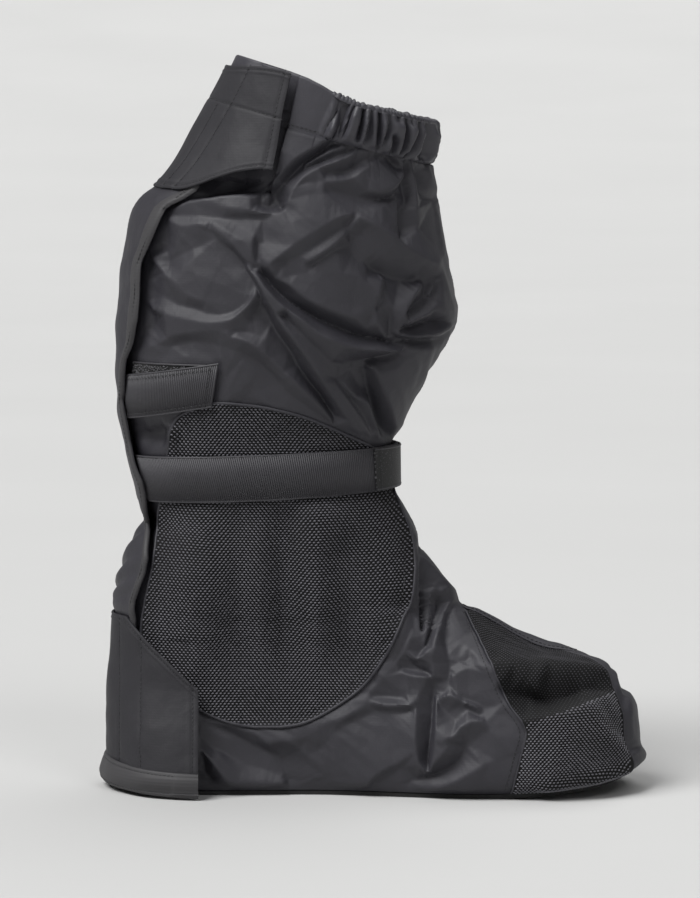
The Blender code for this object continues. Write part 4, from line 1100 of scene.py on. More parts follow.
def pileTree(material):
    # loops strewn over the guide's faces, each turned and sized a little differently
    tree, given = startTree("pile loops", "Density", "Loop", "Seed")
    spots = addNode(tree, "GeometryNodeDistributePointsOnFaces", {"distribute_method": "RANDOM"},
                    {"Mesh": given["Guide"], "Density": given["Density"], "Seed": given["Seed"]})
    loop = addNode(tree, "GeometryNodeMeshIcoSphere", {"Radius": 0.5, "Subdivisions": 1})
    squeezed = addNode(tree, "GeometryNodeTransform", {"Scale": (1.25, 0.6, 1.0)},
                       {"Geometry": loop.outputs["Mesh"]})
    tilts = {"data_type": "FLOAT_VECTOR", 0: (-0.7, -0.7, 0.0), 1: (0.7, 0.7, 6.28)}
    spin = addNode(tree, "FunctionNodeRandomValue", tilts, {"Seed": given["Seed"]})
    turn = addNode(tree, "FunctionNodeRotateRotation", {"rotation_space": "LOCAL"},
                   {"Rotation": spots.outputs["Rotation"], "Rotate By": spin.outputs[0]})
    uneven = addNode(tree, "FunctionNodeRandomValue", {"data_type": "FLOAT", 2: 0.7, 3: 1.25},
                     {"Seed": given["Seed"]})
    size = addNode(tree, "ShaderNodeMath", {"operation": "MULTIPLY"},
                   {0: uneven.outputs[1], 1: given["Loop"]})
    return endTree(tree, squeezed, material, {
        "Points": spots.outputs["Points"], "Rotation": turn.outputs[0], "Scale": size.outputs[0]})


def cordTree(name, material):
    # a round cord along every line of the guide: selvedges and piped edges
    tree, given = startTree(name, "Radius")
    line = addNode(tree, "GeometryNodeMeshToCurve", links={"Mesh": given["Guide"]})
    ring = addNode(tree, "GeometryNodeCurvePrimitiveCircle", {"Resolution": 8}, {"Radius": given["Radius"]})
    tube = addNode(tree, "GeometryNodeCurveToMesh", {"Fill Caps": True},
                   {"Curve": line.outputs[0], "Profile Curve": ring.outputs[0]})
    return endTree(tree, tube, material)


def lineGuide(name, lines):
    points = np.vstack(lines)
    edges, first = [], 0
    for line in lines:
        edges += [(first + k, first + k + 1) for k in range(len(line) - 1)]
        first += len(line)
    return meshObject(name, points, [], None, edges)


def pointGuide(name, points, out, along):
    guide = meshObject(name, points, [], None)
    for label, vectors in (("out", out), ("along", along)):
        field = guide.data.attributes.new(label, "FLOAT_VECTOR", "POINT")
        field.data.foreach_set("vector", np.ascontiguousarray(vectors, np.float32).ravel())
    return guide


threadDashes = stitchTree(thread)
guardFloats = floatTree("weave floats", guardFloat)
paintedShadeToeThreadTree = floatTree("toe threads in painted shade", paintedShadeToeThread)
paintedLightToeFloatTree = floatTree("painted-light floats of the toe", paintedLightToeFloat)
webbingRibs = floatTree("webbing ribs", webbing, bar=True)
webbingEdges = cordTree("webbing edges", webbing)
nylonPiping = cordTree("nylon piping", nylon)
pileLoops = pileTree(pileLoop)
seams = {"spacing": 2.4, "length": 2.0, "width": 0.42, "seed": 5}


def sewLines(name, lines, slotName="coated_nylon"):
    sizes = {"Spacing": seams["spacing"] * mm, "Length": seams["length"] * mm, "Width": seams["width"] * mm,
             "Seed": seams["seed"]}
    return seat(grow(name, lineGuide(name, lines), threadDashes, sizes), slotName)


def layCord(name, lines, tree, radius, slotName):
    return seat(grow(name, lineGuide(name, lines), tree, {"Radius": radius * mm}), slotName)


# Camera: level with the collar and a little down, at the inner side, in a frame of 700 by 898
view = {
    "place": (-0.012, -2.2, 0.383),    # metres
    "tilt": 84.9, "focalPixels": 4000.0, "longSide": 898, "sensor": 36.0,
}
lens = bpy.data.cameras.new("camera")
lens.sensor_width = view["sensor"]
lens.lens = view["focalPixels"] * view["sensor"] / view["longSide"]
camera = bpy.data.objects.new("camera", lens)
camera.location = view["place"]
camera.rotation_euler = (math.radians(view["tilt"]), 0.0, 0.0)
bpy.context.scene.collection.objects.link(camera)
bpy.context.scene.camera = camera


# The upper: outer cloth with every crease, and a coarser inner face a wall away.
# It is made in two parts, foot and shaft, that meet on one ring under the strap.

upperGrid = {
    "innerColumns": 332, "outerColumns": 76, "footRows": 225, "shaftRows": 225,
    "coarse": 4, "joinRing": 18.0,
    # stretches with closer columns: x from, x to, how much closer
    "footFine": ((-98.0, 84.0, 2.6), (14.0, 62.0, 2.4)), "shaftFine": ((-116.0, 32.0, 2.6),),
}


def shellRings(low, high, rows):
    # rows closer together where the creases are fine, and wider apart under the side guard
    rings = np.linspace(low, high, 900)
    walk = skin(rings, 1.62 * pi)
    z = walk[:, 2]
    weight = 1.0 + 0.5 * smooth(62, 74, z) * smooth(122, 108, z)
    weight = weight - 0.35 * smooth(122, 135, z) * smooth(190, 178, z) - 0.5 * smooth(352, 365, z)
    need = np.cumsum(strides(walk) * weight)
    return np.interp(np.linspace(0.0, need[-1], rows), need, rings)


def shellTurns(ring, stretches):
    # columns over the inner side at even distances along a ring, closer together in some stretches
    turns = np.linspace(pi, 2 * pi, 2001)
    walk = skin(ring, turns)
    x = walk[:, 0]
    weight = np.ones(len(x))
    for low, high, closer in stretches:
        weight = weight + closer * smooth(low - 8.0, low, x) * smooth(high + 8.0, high, x)
    need = np.cumsum(strides(walk) * weight)
    inner = np.interp(np.linspace(0.0, need[-1], upperGrid["innerColumns"], endpoint=False), need, turns)
    outer = np.linspace(0.0, pi, upperGrid["outerColumns"], endpoint=False)
    return np.concatenate([outer, inner])


def makeUpper(name, rings, turns):
    ring, turn = np.meshgrid(rings, turns, indexing="ij")
    lift = foldLift(ring, turn)
    plain, out = skin(ring, turn), outward(ring, turn)
    cloth = plain + out * lift[..., None]
    rows, columns = ring.shape
    step = upperGrid["coarse"]
    pickRows = np.arange(0, rows, step)
    pickColumns = np.arange(0, columns, step)
    # the inner face follows the deepest crease near each of its points, so that it never shows through
    deepest = lift.copy()
    for axis in (0, 1):
        shifted = [np.roll(deepest, k, axis) for k in range(-step, step + 1)]
        deepest = np.minimum.reduce(shifted)
    inside = plain - out * (shoe["wall"] - np.minimum(deepest, 0.0))[..., None]
    inside = inside[np.ix_(pickRows, pickColumns)]
    faces = [*gridFaces(rows, columns, 0, True)]
    first = rows * columns
    faces += [*gridFaces(len(pickRows), len(pickColumns), first, True, flip=True)]
    for outerRow, innerRow, flip in ((rows - 1, len(pickRows) - 1, False), (0, 0, True)):
        for k in range(len(pickColumns)):
            o = [outerRow * columns + (k * step + n) % columns for n in range(step + 1)]
            a = first + innerRow * len(pickColumns) + k
            b = first + innerRow * len(pickColumns) + (k + 1) % len(pickColumns)
            fan = [(o[0], o[1], a), (o[1], o[2], a), (o[2], b, a), (o[2], o[3], b), (o[3], o[4], b)]
            faces += [f[::-1] if flip else f for f in fan]
    points = np.vstack([cloth.reshape(-1, 3), inside.reshape(-1, 3)])
    return seat(meshObject(name, points, faces, nylon), "coated_nylon", "upper")


footRings = shellRings(0.0, upperGrid["joinRing"], upperGrid["footRows"])
shaftRings = shellRings(upperGrid["joinRing"], rim, upperGrid["shaftRows"])
makeUpper("upperFoot", footRings, shellTurns(6.0, upperGrid["footFine"]))
makeUpper("upperShaft", shaftRings, shellTurns(22.0, upperGrid["shaftFine"]))
print("upper ready")


# Collar casing: a channel turned over the rim and pinched into gathers by its elastic

casing = {
    "columns": 720, "off": 0.25, "thick": 0.4, "fullness": 0.5, "overRim": 0.9, "insideRings": 0.7,
    "seam": 0.09, "overlap": 0.05, "frill": 0.9,
}


def makeCasing():
    turns = np.linspace(0.0, 2 * pi, casing["columns"], endpoint=False)
    depth = gathers["depth"]
    rows, thick = [], []
    for v in np.linspace(0.0, 1.0, 24):
        ring = mix(casingBase - casing["overlap"], rim, v)
        puff, _ = puffAt(casingPuffs, turns, 24.0 * v)
        plain = skin(ring, turns)
        near = smooth(0.0, -0.2, np.sin(turns)) * smooth(gathers["startX"], gathers["fullX"], plain[:, 0])
        puff = mix(puff, gathers["nearPuff"], near)
        folds = reliefAt(casingMap, plain[:, 0], plain[:, 2]) * near
        fromSeam = abs(v - casing["seam"])
        belly = mix(gathers["atSeam"], 1.0, smooth(0.0, 0.16, fromSeam)) * (1 - 0.4 * smooth(0.75, 1.0, v))
        belly = belly * smooth(-0.02, 0.06, v)
        flat = casing["fullness"] * smooth(0.0, 0.3, fromSeam)
        off = casing["off"] * smooth(0.0, 0.1, v) + flat + (depth * puff + folds) * belly
        off = off - slitDepth(turns, plain[:, 0], plain[:, 2])
        rows.append(plain + outward(ring, turns) * off[:, None])
        thick.append(casing["thick"] * (0.2 + 0.8 * smooth(0.0, 0.08, v)))
    edge = skin(rim, turns)
    out = outward(rim, turns)
    up = unit(skin(rim, turns) - skin(rim - 0.1, turns))
    frill = np.abs(np.sin(61.0 * turns + 2.0 * np.sin(13.0 * turns))) * (puff > 0.05)
    top = casing["off"] + casing["fullness"] + 0.6 * depth * puff
    top = top - slitDepth(turns, edge[:, 0], edge[:, 2])
    for angle in np.linspace(0.0, pi, 7):
        reach = mix(-shoe["wall"] - 0.8 - 0.5 * puff, top, (1 + math.cos(angle)) / 2)
        height = (casing["overRim"] + 1.3 * puff + casing["frill"] * frill) * math.sin(angle) + 0.2
        rows.append(edge + out * reach[:, None] + up * height[:, None])
    for v in np.linspace(0.12, 1.0, 8):
        ring = rim - casing["insideRings"] * v
        off = -shoe["wall"] - 1.4 - 0.5 * puff
        rows.append(stoodOff(ring, turns, off))
    thick += [casing["thick"]] * (len(rows) - len(thick))
    # the casing wears the lighter copy of the nylon: painted light
    piece = slab("collarCasing", np.array(rows), np.array(thick)[:, None], casingNylonPaintedLight, closed=True)
    seat(piece, "coated_nylon", "collar_casing")
    line = np.linspace(pi * 1.34, pi * 2.9, 400)
    ring = np.full(line.shape, mix(casingBase - casing["overlap"], rim, casing["seam"]))
    off = np.full(line.shape, casing["off"] + casing["thick"] + 0.12)
    sewLines("casingStitches", [stoodOff(ring, line, off)])


makeCasing()
print("casing ready")


# Woven side guard: a ground sheet on the cloth, and a float of heavy yarn at every crossing

def insideOutline(x, z, inset):
    back, front = guardEdges(z)
    tall = (z > sideOutline[0, 0] + inset) & (z < sideOutline[-1, 0] - inset)
    return tall & (x > back + inset) & (x < front - inset)


def weave(name, ring, turn, size, slotName, tree=None):
    # floats at these places of the cloth; every float lies along its own row
    off = size["off"] + size["thick"] + 0.1
    spots = onShoe(ring, turn, off)
    along = unit(onShoe(ring, turn + 0.004, off) - spots)
    up = unit(onShoe(ring + 0.02, turn, off) - spots)
    out = unit(np.cross(along, up))
    # the yarns lean one way and the other across the channels of the cloth
    swing = 2 * pi * (spots[:, :1] - sideGuard["leanStart"]) / sideGuard["leanSpan"]
    along = unit(along + up * (sideGuard["lean"] * np.sin(swing)))
    sizes = {"Length": size["floatLength"] * mm, "Width": size["floatWidth"] * mm,
             "Height": size["floatHeight"] * mm, "Seed": 2}
    return seat(grow(name, pointGuide(name, spots, out, along), tree or guardFloats, sizes), slotName)


def makeSideGuard():
    v = np.linspace(0.0, 1.0, 120)
    height = np.interp(v, np.linspace(0.0, 1.0, len(sideOutline)), sideOutline[:, 0])
    back, front = guardEdges(height)
    share = np.linspace(0.0, 1.0, 60)
    x = back[:, None] + (front - back)[:, None] * share
    z = np.broadcast_to(height[:, None], x.shape)
    ring, turn = innerPlace(x, z)
    ground = onShoe(ring, turn, sideGuard["off"])
    seat(slab("sideGuardGround", ground, sideGuard["thick"], paintedShadeGuardGround), "woven_guard", "side_panel")
    pitch, rise = sideGuard["floatPitch"], sideGuard["floatRise"]
    heights = np.arange(sideOutline[0, 0], sideOutline[-1, 0], rise)
    spots = []
    for k, z in enumerate(heights):
        x = np.arange(-132.0, 26.0, pitch) + (k % 2) * pitch / 2
        keep = insideOutline(x, z, 0.6)
        spots.append(np.stack([x[keep], np.full(keep.sum(), z)], 1))
    spots = np.vstack(spots)
    ring, turn = innerPlace(spots[:, 0], spots[:, 1])
    weave("sideGuardWeave", ring, turn, sideGuard, "woven_guard")
    # the turned edge all round, and the seam inside it
    rightEdge = np.stack([front, height], 1)
    leftEdge = np.stack([back, height], 1)[::-1]
    loop = np.vstack([rightEdge, leftEdge, rightEdge[:1]])
    ring, turn = innerPlace(loop[:, 0], loop[:, 1])
    edge = onShoe(ring, turn, sideGuard["off"] + 0.5)
    layCord("sideGuardEdge", [edge], nylonPiping, sideGuard["piping"], "woven_guard")
    middle = loop.mean(0)
    reach = np.maximum(np.linalg.norm(loop - middle, axis=1, keepdims=True), 30)
    inset = middle + (loop - middle) * (1 - sideGuard["seamInset"] / reach)
    ring, turn = innerPlace(inset[:, 0], inset[:, 1])
    seam = onShoe(ring, turn, sideGuard["off"] + sideGuard["thick"] + 0.5)
    sewLines("sideGuardStitches", [seam], "woven_guard")


makeSideGuard()
print("side guard ready")


# Woven toe guard: ring, back edge x, and how far its front edge is from the ridge along the ring

toeGuard = {
    "outline": np.array([
        (0.3, 75.5, 38.0), (1.2, 76.5, 33.0), (2.2, 77.5, 31.0), (3.3, 80.0, 29.0), (4.5, 83.5, 27.0),
        (5.6, 75.5, 24.0), (6.4, 71.0, 21.0), (7.2, 67.5, 18.0), (8.0, 65.5, 14.5), (8.6, 64.0, 10.5),
        (9.2, 62.5, 6.0), (10.0, 60.0, 4.5), (11.0, 57.0, 4.2), (12.0, 53.0, 4.2), (12.4, 51.0, 4.2),
    ]),
    "off": 0.5, "thick": 0.55, "floatPitch": 2.0, "floatRise": 1.2,
    "floatLength": 1.7, "floatWidth": 1.0, "floatHeight": 1.2, "piping": 0.6,
    # the shelf above the toe, in the side view: the cloth turns up and shows its fine threads there, and
    # above it the threads are coloured darker as painted shade
    "shelfX": 80.0, "shelfZ": 41.0, "shelfSlope": 0.28,
}
fineWeave = dict(toeGuard, floatLength=0.95, floatWidth=0.8, floatHeight=0.8)


def makeToeGuard():
    outline = curveThrough(toeGuard["outline"], 5)
    rings = np.linspace(outline[0, 0], outline[-1, 0], 90)
    backX = np.interp(rings, outline[:, 0], outline[:, 1])
    frontArc = np.interp(rings, outline[:, 0], outline[:, 2])
    backTurn = innerTurn(rings, backX)
    frontTurn = turnByArc(rings, 2 * pi, -frontArc)
    turn = backTurn[:, None] + (frontTurn - backTurn)[:, None] * np.linspace(0.0, 1.0, 44)
    ring = np.broadcast_to(rings[:, None], turn.shape)
    ground = onShoe(ring, turn, toeGuard["off"])
    seat(slab("toeGuardGround", ground, toeGuard["thick"], paintedShadeGuardGround), "woven_guard", "toe_panel")
    # rows of floats climb the wall at each x, like cloth laid over the toe
    climb = np.linspace(outline[0, 0], outline[-1, 0], 300)
    spotRing, spotTurn = [], []
    for k, x in enumerate(np.arange(50.0, 140.0, toeGuard["floatPitch"] / 2)):
        run = runAlong(skin(climb, innerTurn(climb, x)))
        steps = np.arange(0.4 + (k % 2) * toeGuard["floatRise"], run[-1], 2 * toeGuard["floatRise"])
        atRing = np.interp(steps, run, climb)
        atTurn = innerTurn(atRing, x)
        low = np.interp(atRing, rings, backTurn)
        high = np.interp(atRing, rings, frontTurn)
        keep = (atTurn > low + 0.008) & (atTurn < high - 0.02)
        spotRing.append(atRing[keep])
        spotTurn.append(atTurn[keep])
    ring, turn = np.concatenate(spotRing), np.concatenate(spotTurn)
    x, _, z = skin(ring, turn).T
    # above the shelf the weave takes the darker threads, painted shade; below it the lighter floats, painted
    # light
    above = z > toeGuard["shelfZ"] + toeGuard["shelfSlope"] * (x - toeGuard["shelfX"])
    weave("toeGuardWeave", ring[~above], turn[~above], toeGuard, "woven_guard", paintedLightToeFloatTree)
    weave("toeGuardTopWeave", ring[above], turn[above], fineWeave, "woven_guard", paintedShadeToeThreadTree)
    edges = [onShoe(rings, turns, toeGuard["off"] + 0.3) for turns in (backTurn, frontTurn)]
    layCord("toeGuardEdge", edges, nylonPiping, toeGuard["piping"], "woven_guard")
    beside = [onShoe(rings[4:], backTurn[4:] - 0.03, 0.2)]
    sewLines("toeGuardStitches", beside, "woven_guard")


makeToeGuard()
print("toe guard ready")


# Bound strip along the ridge of the vamp

binding = {"toeRing": 9.0, "instepRing": 12.75, "halfWidth": 6.0, "off": 1.5, "thick": 0.7, "crown": 0.4}


def makeBinding():
    rings = np.linspace(binding["toeRing"], binding["instepRing"], 70)
    across = np.linspace(-1.0, 1.0, 15)
    turn = np.stack([turnByArc(rings, 0.0, binding["halfWidth"] * a) for a in across], 1)
    ring = np.broadcast_to(rings[:, None], turn.shape)
    lift = softened(foldLift(ring, turn), 4)
    out = outward(ring, turn)
    ending = smooth(binding["instepRing"], binding["instepRing"] - 0.5, rings)[:, None]
    base = skin(ring, turn) + out * (lift + mix(0.2, binding["off"], ending))[..., None]
    rounded = binding["thick"] * (0.3 + 0.7 * (1 - across**6)) + binding["crown"] * (1 - across**2)
    thick = rounded[None, :] * mix(0.3, 1.0, ending)
    seat(slab("vampBinding", base, thick, nylon), "coated_nylon", "vamp_binding")
    sewLines("bindingStitches", [base[:, 2] + out[:, 2] * (binding["thick"] + 0.35)])


makeBinding()
print("vamp binding ready")


# Flaps down the back. share runs from the far seam round the back to the free edge on the inner side.

flap = {
    "farWrap": 28.0, "nearOff": 4.8, "farOff": 1.0, "topFarOff": 2.8, "riseStart": 300.0, "riseEnd": 330.0,
    "thick": 1.0, "hem": 0.3, "hemWidth": 3.4, "seam": 1.9, "dent": 0.45,
}
farAway = 99.0    # a distance that no seam reaches
wrapRings = np.linspace(0.0, rim, 109)
wrapTurns = turnByArc(wrapRings, pi, -flap["farWrap"])


def farTurn(ring):
    return np.interp(ring, wrapRings, wrapTurns)


def flapOff(share, z):
    far = mix(flap["farOff"], flap["topFarOff"], smooth(flap["riseStart"], flap["riseEnd"], z))
    return mix(far, flap["nearOff"], smooth(0.0, 1.0, share))


def sewnThickness(across, edges, seamLines):
    # thickness of a sewn sheet: doubled along its edges, dented along its seams, rounded at the rim
    thick = np.full(across.shape, flap["thick"])
    for distance in edges:
        thick = thick + flap["hem"] * smooth(flap["hemWidth"] + 0.5, flap["hemWidth"], distance)
        thick = thick - 0.5 * smooth(0.8, 0.0, distance)
    for distance in seamLines:
        thick = thick - flap["dent"] * np.exp(-((distance / 0.7) ** 2))
    return thick


def sewnFace(base, thick):
    # just over the outer face of a sheet, where its stitches lie
    return base + gridNormals(base) * (thick + 0.1)[..., None]


def crushed(base, amount):
    # small facets of handled cloth on a sewn piece
    points = base.reshape(-1, 3)
    lift = amount * crumple(points, 24.0) + 0.45 * amount * crumple(points + 5.0, 9.0)
    return base + gridNormals(base) * lift.reshape(base.shape[:2])[..., None]


topFlap = {
    "baseRing": 24.5, "cornerRing": 25.1, "topBack": 26.78, "topFree": 27.0, "baseX": -52.5, "topX": -42.0,
    "cornerShare": 0.55, "lift": 3.4, "liftStart": 0.56, "liftEnd": 0.95, "length": 60.0, "height": 56.0,
    "wave": 0.4, "overRim": 0.8, "postX": 9.5, "backPostX": 3.0,
}


def topFlapPlace(share, v):
    share, v = np.broadcast_arrays(share, v)
    base = mix(topFlap["baseRing"], topFlap["cornerRing"], smooth(topFlap["cornerShare"], 1.0, share))
    ring = mix(base, mix(topFlap["topBack"], topFlap["topFree"], smooth(0.44, 1.0, share)), v)
    edge = innerTurn(ring, mix(topFlap["baseX"], topFlap["topX"], v))
    turn = mix(farTurn(ring), edge, share)
    freed = smooth(topFlap["liftStart"], topFlap["liftEnd"], share)
    off = flapOff(share, shoe["height"]) + topFlap["lift"] * freed * (1 - v) ** 1.3
    ripple = np.sin(9.0 * share + 1.0) * np.sin(5.0 * v + 2.0) + 0.6 * np.sin(17.0 * share + 4.0 * v)
    off = off + topFlap["wave"] * ripple * smooth(0.1, 0.5, share) * smooth(1.0, 0.6, v)
    place = stoodOff(ring, turn, off)
    place[..., 2] += topFlap["overRim"] * smooth(0.7, 1.0, v) * smooth(0.44, 1.0, share)
    return place, ring


def traceLine(field, face):
    # the line along which a distance field is least, column by column or row by row
    rows = field.min(1) < 0.7
    columns = field.min(0) < 0.7
    if rows.sum() > columns.sum() * 0.75:
        picks = [(i, field[i].argmin()) for i in np.flatnonzero(rows)]
    else:
        picks = [(field[:, j].argmin(), j) for j in np.flatnonzero(columns)]
    return softened(np.array([face[i, j] for i, j in picks]), 6)


def makeTopFlap():
    share, v = np.meshgrid(np.linspace(0.0, 1.0, 120), np.linspace(0.0, 1.0, 96))
    base, ring = topFlapPlace(share, v)
    base = crushed(base, 0.7)
    fromBack = base[..., 0] - sectionAt(ring)[..., 0]
    onNear = share > 0.32
    toFree = (1 - share) * topFlap["length"]
    toBottom = v * topFlap["height"]
    toTop = (1 - v) * topFlap["height"]
    level = np.abs(ring - casingBase - 0.08) * 26.0
    post = np.where(onNear, np.abs(fromBack - topFlap["postX"]), farAway)
    backPost = np.where(onNear & (v < 0.66), np.abs(fromBack - topFlap["backPostX"]), farAway)
    inner = [np.abs(distance - flap["seam"]) for distance in (toFree, toBottom, toTop)]
    thick = sewnThickness(share, [toFree, toBottom, toTop], [level, post, backPost, *inner])
    seat(slab("topFlap", base, thick, pressedNylon), "coated_nylon", "top_flap")
    face = sewnFace(base, thick)
    seamLines = [level, post, backPost, *(np.where(onNear, field, farAway) for field in inner)]
    sewLines("topFlapStitches", [traceLine(field, face) for field in seamLines])


makeTopFlap()

placket = {
    "topRing": 24.8, "roll": 0.6, "rollReach": 2.6, "overlap": 12.0, "tuck": 2.2,
    "pleat": 1.1, "pleatSpan": 11.0, "pleatSlant": -26.0,
    # facing tape along the free edge: heights and widths there
    "tapeAt": (84.0, 200.0, 232.0, 270.0, 330.0), "tapeWidth": (3.0, 3.2, 4.4, 7.5, 8.5),
    "tapeThick": 0.8, "tapeSeam": 1.5,
}
heelFlap = {
    "top": 97.0, "edgeX": -94.5, "slopeX": -136.0, "cornerZ": 58.5, "hemTopBack": 20.0, "hemTopNear": 13.5,
    "cornerFlare": 9.0, "flareShare": 0.5, "length": 84.0, "postX": (-138.0, -126.0),
}


def makePlacket():
    baseRing = ringAtHeight(pi, heelFlap["top"] - placket["overlap"])
    rings = np.linspace(baseRing, placket["topRing"], 170)
    edge = np.full(rings.shape, pi)
    for _ in range(5):
        edge = innerTurn(rings, np.interp(skin(rings, edge)[:, 2], placketEdge[:, 0], placketEdge[:, 1]))
    share = np.linspace(0.0, 1.0, 48)
    turn = farTurn(rings)[:, None] + (edge - farTurn(rings))[:, None] * share
    ring = np.broadcast_to(rings[:, None], turn.shape)
    plain = skin(ring, turn)
    span = np.linalg.norm(np.diff(plain, axis=1), axis=2).sum(1)[:, None]
    toFree = (1 - share)[None, :] * span
    wander = 0.5 * np.sin(plain[..., 2] / 9.0) + 0.35 * np.sin(plain[..., 2] / 4.1 + 1.0)
    off = flapOff(share[None, :], plain[..., 2]) + wander * smooth(0.35, 0.9, share)[None, :]
    # small slanting pleats where the placket is pulled in above the heel
    slant = plain[..., 2] + placket["pleatSlant"] * share[None, :]
    pulled = smooth(100.0, 110.0, plain[..., 2]) * smooth(168.0, 136.0, plain[..., 2])
    pleats = placket["pleat"] * pulled * np.sin(2 * pi * slant / placket["pleatSpan"])
    off = off + pleats * np.sin(pi * share)[None, :]
    off = off - placket["tuck"] * smooth(heelFlap["top"] + 6.0, heelFlap["top"] - 2.0, plain[..., 2])
    off = off - placket["tuck"] * smooth(24.2, 24.6, ring)
    base = crushed(stoodOff(ring, turn, off), 1.5)
    roll = placket["roll"] * np.exp(-(((toFree - 1.6) / placket["rollReach"]) ** 2))
    thick = flap["thick"] + roll - 0.7 * smooth(1.0, 0.0, toFree)
    seat(slab("backPlacket", base, thick, nylon), "coated_nylon", "back_placket")
    face = base + gridNormals(base) * (thick - 0.25)[..., None]
    width = np.interp(plain[:, -1, 2], placket["tapeAt"], placket["tapeWidth"])
    facing = []
    for i in range(len(rings)):
        at = np.linspace(width[i], 0.0, 14)
        facing.append([np.interp(at, toFree[i, ::-1], face[i, ::-1, axis]) for axis in range(3)])
    facing = np.moveaxis(np.array(facing), 1, 2)
    across = np.linspace(-1.0, 1.0, 14)
    thick = placket["tapeThick"] * (1 - 0.7 * across**4)
    seat(slab("placketFacing", facing, thick, tape), "coated_nylon", "back_placket")
    share = 1 - placket["tapeSeam"] / width
    at = np.clip(share * 13, 0, 12).astype(int)
    line = facing[np.arange(len(rings)), at] + gridNormals(facing)[:, 7] * (placket["tapeThick"] + 0.1)
    sewLines("placketStitches", [softened(line, 10)[30:-2]])


makePlacket()


def heelPlace(share, z, more):
    share, z = np.broadcast_arrays(share, z)
    level = np.maximum(z, skin(0.0, pi)[2])
    ring = ringAtHeight(pi, level)
    turn = mix(farTurn(ring), innerTurn(ring, heelFlap["edgeX"]), share)
    corner = smooth(heelFlap["flareShare"], 1.0, share) * np.maximum(0.0, 1 - z / heelFlap["cornerZ"])
    ring = ringAtHeight(turn, level)
    off = flapOff(share, z) + more + heelFlap["cornerFlare"] * corner
    point = stoodOff(ring, turn, off)
    point[..., 2] = z
    return point


def makeHeelFlap():
    share, v = np.meshgrid(np.linspace(0.0, 1.0, 130), np.linspace(0.0, 1.0, 96))
    # the top edge runs level round the back, then straight down to the corner in the side view
    edgeX = heelPlace(share, np.full(share.shape, heelFlap["cornerZ"]), 0.0)[..., 0]
    slope = (edgeX - heelFlap["slopeX"]) / (edgeX.max() - heelFlap["slopeX"])
    slope = np.clip(slope, 0.0, 1.0) * (share > 0.4)
    top = mix(heelFlap["top"], heelFlap["cornerZ"], slope)
    low = mix(heelFlap["hemTopBack"], heelFlap["hemTopNear"], share) + 0.2
    z = mix(low, top, v)
    wave = 0.8 * np.sin(8.0 * share + 0.06 * z) * np.sin(0.05 * z + 1.0) + 0.4 * np.sin(19.0 * share)
    atTop = smooth(heelFlap["top"] - 22.0, heelFlap["top"] - 8.0, z)
    wave = 0.4 * wave * smooth(0.3, 0.7, share) + 0.9 * atTop
    base = crushed(heelPlace(share, z, wave), 0.8)
    onNear = share > 0.42
    toFree = (1 - share) * heelFlap["length"]
    toTop = (1 - v) * (top - low) * (1 - 0.3 * (slope > 0))
    posts = [np.where(onNear, np.abs(base[..., 0] - at), farAway) for at in heelFlap["postX"]]
    edges = [np.abs(toFree - flap["seam"]), np.abs(toTop - flap["seam"])]
    thick = sewnThickness(share, [toFree, toTop], [*posts, *edges])
    seat(slab("heelFlap", base, thick, pressedNylon), "coated_nylon", "heel_flap")
    face = sewnFace(base, thick)
    seamLines = [*posts, *(np.where(onNear, field, farAway) for field in edges)]
    sewLines("heelFlapStitches", [traceLine(field, face) for field in seamLines])


makeHeelFlap()

heelHem = {
    "baseBack": 5.5, "baseNear": 1.0, "flare": 5.0, "flareShare": 0.35, "thick": 1.7,
    "end": 7.0, "endRise": 0.7,
}


def makeHeelHem():
    share, v = np.meshgrid(np.linspace(0.0, 1.0, 130), np.linspace(0.0, 1.0, 22))
    base = mix(heelHem["baseBack"], heelHem["baseNear"], share)
    top = mix(heelFlap["hemTopBack"], heelFlap["hemTopNear"], share) + 0.6
    flare = heelHem["flare"] * smooth(0.0, heelHem["flareShare"], share) * (1 - v)
    strip = heelPlace(share, mix(base, top, v), flare + 0.25 * np.sin(26.0 * share))
    toFree = (1 - share) * heelFlap["length"]
    rounded = smooth(0.0, 0.1, v) * smooth(1.0, 0.93, v)
    turned = heelHem["endRise"] * smooth(heelHem["end"] + 0.7, heelHem["end"], toFree)
    seam = 0.3 * np.exp(-(((v - 0.16) / 0.05) ** 2)) + 0.3 * np.exp(-(((v - 0.84) / 0.05) ** 2))
    thick = heelHem["thick"] * (0.5 + 0.5 * rounded) + turned * rounded - seam
    seat(slab("heelHem", strip, thick, tape), "coated_nylon", "heel_hem")
    face = sewnFace(strip, thick)
    sewLines("hemStitches", [face[18, 4:118], face[3, 4:118]])


makeHeelHem()
print("flaps ready")


# Tapes: a flat ground, cross ribs and two selvedge cords

def tapeGrid(turns, middle, width, off, strips=5):
    # both edges follow the shoe, and the tape runs straight between them
    x = skin(ringAtHeight(turns, middle(np.zeros(turns.shape))), turns)[:, 0]
    edges = []
    for sign in (-0.5, 0.5):
        ring = ringAtHeight(turns, middle(x) + sign * width)
        edges.append(onShoe(ring, turns, np.full(turns.shape, off)))
    share = np.linspace(0.0, 1.0, strips)[:, None, None]
    return edges[0][None] + (edges[1] - edges[0])[None] * share


def spacedTurns(turns, grid, pitch):
    line = grid[len(grid) // 2]
    run = runAlong(line)
    return np.interp(np.arange(pitch / 2, run[-1], pitch), run, turns)


